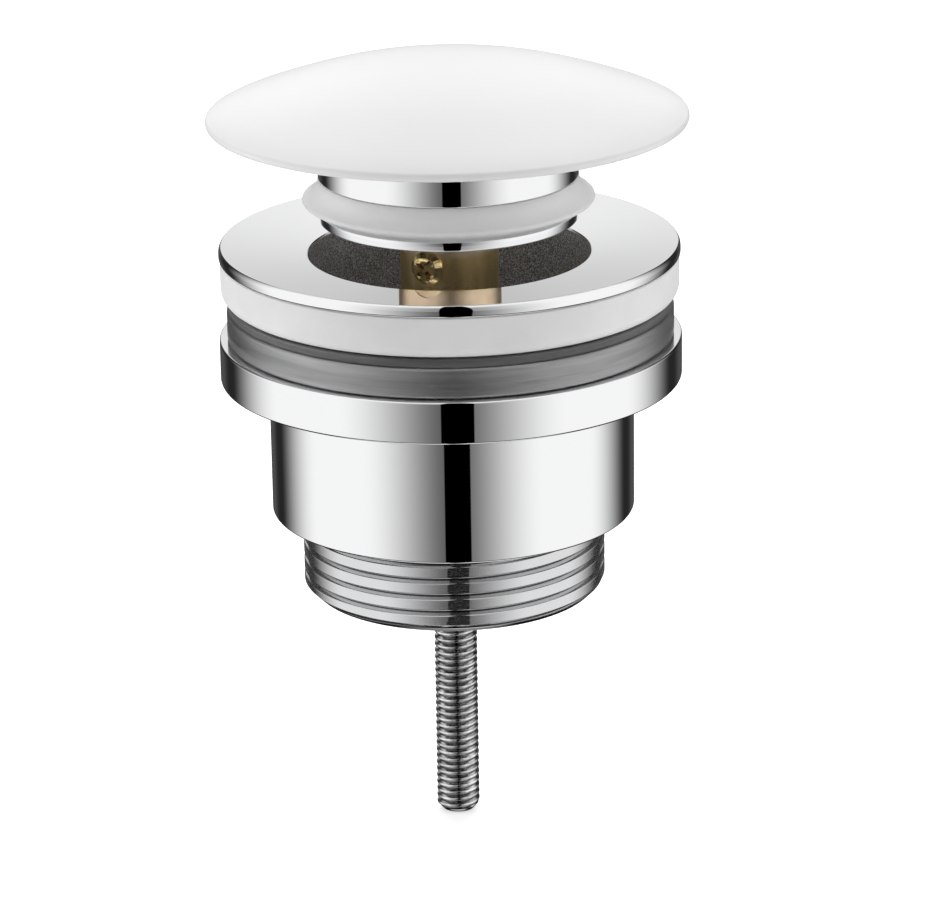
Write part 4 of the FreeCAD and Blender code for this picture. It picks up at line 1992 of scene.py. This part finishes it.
@dataclass
class Studio:
    """Pale floor, soft lamps, a bright surround with a dark gap, and the camera."""

    distance: float = 0.560
    camera_height: float = 0.16699
    pitch: float = 18.736
    yaw: float = 0.137
    roll: float = -0.954
    focal_px: float = 4270.0
    frame_px: float = 926.0
    sensor: float = 36.0
    floor_size: float = 6.0
    floor_gap: float = 0.1 * MM
    floor_glow: float = 0.55
    lamps: tuple[Lamp, ...] = (
        Lamp("left_bank", (-1.0, 0.05, 0.03), 0.9, 0.18, 3.6),
        Lamp("right_bank", (1.0, -0.1, 0.06), 0.9, 0.24, 2.4),
        Lamp("top_bank", (0.0, 0.70, 0.71), 1.1, 1.1, 10.3),
    )

    def build(self) -> None:
        """Set up surround, floor, lamps and camera."""
        self._view()
        self._surround()
        self._floor()
        self._lamps()
        self._camera()

    def _view(self) -> None:
        """Plain view transform."""
        bpy.context.scene.view_settings.view_transform = "Standard"

    def _surround(self) -> None:
        """White for the camera, and a tent of soft bands for what metal reflects."""
        world = bpy.data.worlds.new("soft_tent")
        bpy.context.scene.world = world
        world.use_nodes = True
        world.node_tree.nodes.clear()
        Tent(Wiring(world.node_tree)).build()

    def _floor(self) -> None:
        """A plain pale floor that keeps the shadow and isn't mirrored in the chrome."""
        deselect()
        level = low("threaded_rod") - self.floor_gap
        bpy.ops.mesh.primitive_plane_add(size=self.floor_size, location=(0, 0, level))
        floor = bpy.context.object
        floor.name = "floor"
        bpy.ops.object.transform_apply(location=True)
        floor.visible_glossy = False
        sheet = Sheet("pale_floor")
        sheet.set(Base_Color=(0.9, 0.9, 0.9), Roughness=0.9, Specular_IOR_Level=0.1)
        glow = sheet.node("ShaderNodeEmission")
        glow.inputs["Strength"].default_value = self.floor_glow
        both = sheet.node("ShaderNodeAddShader")
        sheet.link(sheet.shader.outputs[0], both.inputs[0])
        sheet.link(glow.outputs[0], both.inputs[1])
        path = sheet.node("ShaderNodeLightPath")
        seen = sheet.either(path.outputs["Is Camera Ray"], sheet.shader.outputs[0], both.outputs[0])
        clear = sheet.node("ShaderNodeBsdfTransparent").outputs[0]
        facing = sheet.node("ShaderNodeNewGeometry").outputs["Backfacing"]
        surface = sheet.tree.nodes["Material Output"].inputs["Surface"]
        sheet.link(sheet.either(facing, seen, clear), surface)
        floor.data.materials.append(sheet.material)

    def _lamps(self) -> None:
        """A lamp above and behind, and two low side lamps, kept out of the mirror finishes."""
        for lamp in self.lamps:
            data = bpy.data.lights.new(lamp.name, "AREA")
            data.shape = "RECTANGLE"
            data.size = lamp.width
            data.size_y = lamp.depth
            data.energy = lamp.power
            hung = bpy.data.objects.new(lamp.name, data)
            hung.location = lamp.place
            hung.rotation_euler = (-Vector(lamp.place)).to_track_quat("-Z", "Y").to_euler()
            hung.visible_glossy = False
            bpy.context.scene.collection.objects.link(hung)

    def _camera(self) -> None:
        """The photograph's viewpoint, from the front and above."""
        data = bpy.data.cameras.new("camera")
        data.sensor_width = self.sensor
        data.sensor_fit = "HORIZONTAL"
        data.lens = self.focal_px / self.frame_px * self.sensor
        data.clip_start = 0.01
        camera = bpy.data.objects.new("camera", data)
        pitch = math.radians(self.pitch)
        yaw = math.radians(self.yaw)
        roll = math.radians(self.roll)
        ahead = Vector((0, math.cos(pitch), -math.sin(pitch)))
        right = Vector((1, 0, 0))
        up = right.cross(ahead)
        ahead_turned = ahead * math.cos(yaw) + right * math.sin(yaw)
        right_turned = right * math.cos(yaw) - ahead * math.sin(yaw)
        axis_x = right_turned * math.cos(roll) + up * math.sin(roll)
        axis_y = up * math.cos(roll) - right_turned * math.sin(roll)
        pose = camera.matrix_world.copy()
        for row in range(3):
            pose[row][0] = axis_x[row]
            pose[row][1] = axis_y[row]
            pose[row][2] = -ahead_turned[row]
        pose[0][3] = 0.0
        pose[1][3] = -self.distance
        pose[2][3] = self.camera_height
        camera.matrix_world = pose
        bpy.context.scene.collection.objects.link(camera)
        bpy.context.scene.camera = camera


@dataclass
class Tent:
    """The surround's light by direction, which is what the metal mirrors.

    From its middle up it is bright at the sides, greyer in front with a black gap, and has
    dark edges beside a bright back wall. Above is a bright roof, and below are a dark belt
    and a bright foot. The camera itself sees plain white. Both sides are alike. Rises and
    falls round the turn are in degrees from the front, and greys are display values.
    """

    wires: Wiring
    gap_centre: float = 2.6
    gap_half: float = 8.15
    gap_blur: float = 0.25
    gap_top: float = 0.97
    gap_top_blur: float = 0.02
    front_low: float = 0.35
    front_high: float = 0.55
    side: float = 0.98
    side_rise: tuple[float, float] = (0.0, 60.0)
    edge: float = 0.15
    edge_fall: tuple[float, float] = (95.0, 140.0)
    rear: float = 0.30
    rear_rise: tuple[float, float] = (145.0, 160.0)
    middle: tuple[float, float] = (-0.12, 0.10)
    back_edge: float = 158.0
    back_blur: float = 8.0
    back_low: float = 0.79
    back_high: float = 0.955
    back_rise: tuple[float, float] = (0.0, 0.5)
    roof: float = 0.97
    roof_rise: tuple[float, float] = (0.55, 0.95)
    belt: float = 0.10
    belt_drop: tuple[float, float] = (-0.42, -0.58)
    foot: float = 0.93
    foot_drop: tuple[float, float] = (-0.84, -0.94)
    lit_strength: float = 0.70

    def build(self) -> None:
        """Wire the world's nodes."""
        wires = self.wires
        split = wires.node("ShaderNodeSeparateXYZ")
        wires.link(wires.node("ShaderNodeTexCoord").outputs["Generated"], split.inputs[0])
        level = split.outputs["Z"]
        forward = wires.math("MULTIPLY", split.outputs["Y"], -1.0)
        angle = wires.math("ARCTAN2", split.outputs["X"], forward)
        angle = wires.math("MULTIPLY", angle, 180 / math.pi)
        whole = self._whole(angle, level)
        mirrored = wires.blend(self._gap(angle, level), whole, grey(0.0))
        path = wires.node("ShaderNodeLightPath")
        mirror = wires.math(
            "MAXIMUM", path.outputs["Is Glossy Ray"], path.outputs["Is Transmission Ray"]
        )
        lit = self._background(whole, self.lit_strength)
        soft = wires.either(mirror, lit, self._background(mirrored, 1.0))
        seen = self._background(grey(1.0), 1.0)
        out = wires.node("ShaderNodeOutputWorld")
        surface = wires.either(path.outputs["Is Camera Ray"], soft, seen)
        wires.link(surface, out.inputs["Surface"])

    def _whole(self, angle: Socket, level: Socket) -> Socket:
        """The light all round, from foot to roof, without the gap.

        Args:
            angle: Angle from the front in degrees.
            level: Height of the direction, from -1 to 1.

        Returns:
            The light's colour.
        """
        blend = self.wires.blend
        back_wall = blend(
            self._ease(level, *self.back_rise), grey(self.back_low), grey(self.back_high)
        )
        off_front = self.wires.math("ABSOLUTE", angle)
        behind = self._ease(off_front, self.back_edge, self.back_edge + self.back_blur)
        upper = blend(behind, self._sides(off_front, self.front_high), back_wall)
        lower = self._sides(off_front, self.front_low)
        light = blend(self._ease(level, *self.middle), lower, upper)
        light = blend(self._ease(level, *self.roof_rise), light, grey(self.roof))
        light = blend(self._ease(level, *self.belt_drop), light, grey(self.belt))
        return blend(self._ease(level, *self.foot_drop), light, grey(self.foot))

    def _gap(self, angle: Socket, level: Socket) -> Socket:
        """The gap in front.

        Args:
            angle: Angle from the front in degrees.
            level: Height of the direction, from -1 to 1.

        Returns:
            1 inside the gap and 0 outside it.
        """
        aside = self.wires.math("SUBTRACT", angle, self.gap_centre)
        off_centre = self.wires.math("ABSOLUTE", aside)
        width = self._ease(off_centre, self.gap_half + self.gap_blur, self.gap_half - self.gap_blur)
        height = self._ease(level, self.gap_top + self.gap_top_blur, self.gap_top)
        return self.wires.math("MULTIPLY", width, height)

    def _ease(self, source: Socket, start: float, end: float) -> Socket:
        """Rise smoothly from 0 at one value to 1 at another.

        Args:
            source: The values.
            start: Where it is 0, which may be the larger value.
            end: Where it is 1.

        Returns:
            The eased values.
        """
        first, last = (0.0, 1.0) if start < end else (1.0, 0.0)
        return self.wires.span(
            source, min(start, end), max(start, end), first, last, "SMOOTHSTEP"
        )

    def _sides(self, off_front: Socket, front: float) -> Socket:
        """The light round the turn, from the front by the bright side to the dark edge.

        Args:
            off_front: Angle from the front in degrees, to either side.
            front: The front's display value.

        Returns:
            The light's colour.
        """
        blend = self.wires.blend
        light = blend(self._ease(off_front, *self.side_rise), grey(front), grey(self.side))
        light = blend(self._ease(off_front, *self.edge_fall), light, grey(self.edge))
        return blend(self._ease(off_front, *self.rear_rise), light, grey(self.rear))

    def _background(self, colour: Socket | Colour, strength: float) -> Socket:
        """A background.

        Args:
            colour: Its colour.
            strength: Its strength.

        Returns:
            The background's shader.
        """
        made = self.wires.node("ShaderNodeBackground")
        self.wires.feed(colour, made.inputs["Color"])
        made.inputs["Strength"].default_value = strength
        return made.outputs[0]


def main() -> None:
    """Build the sub-assemblies from the top down, then the studio."""
    logging.basicConfig(level=logging.INFO, format="%(name)s %(message)s")
    finishes = Finishes()
    for assembly in (Cover(), Plug(), Cartridge(), Flange(), Packing(), ClampCup(), Rod()):
        assembly.build(finishes)
    Studio().build()


if __name__ == "__main__":
    main()
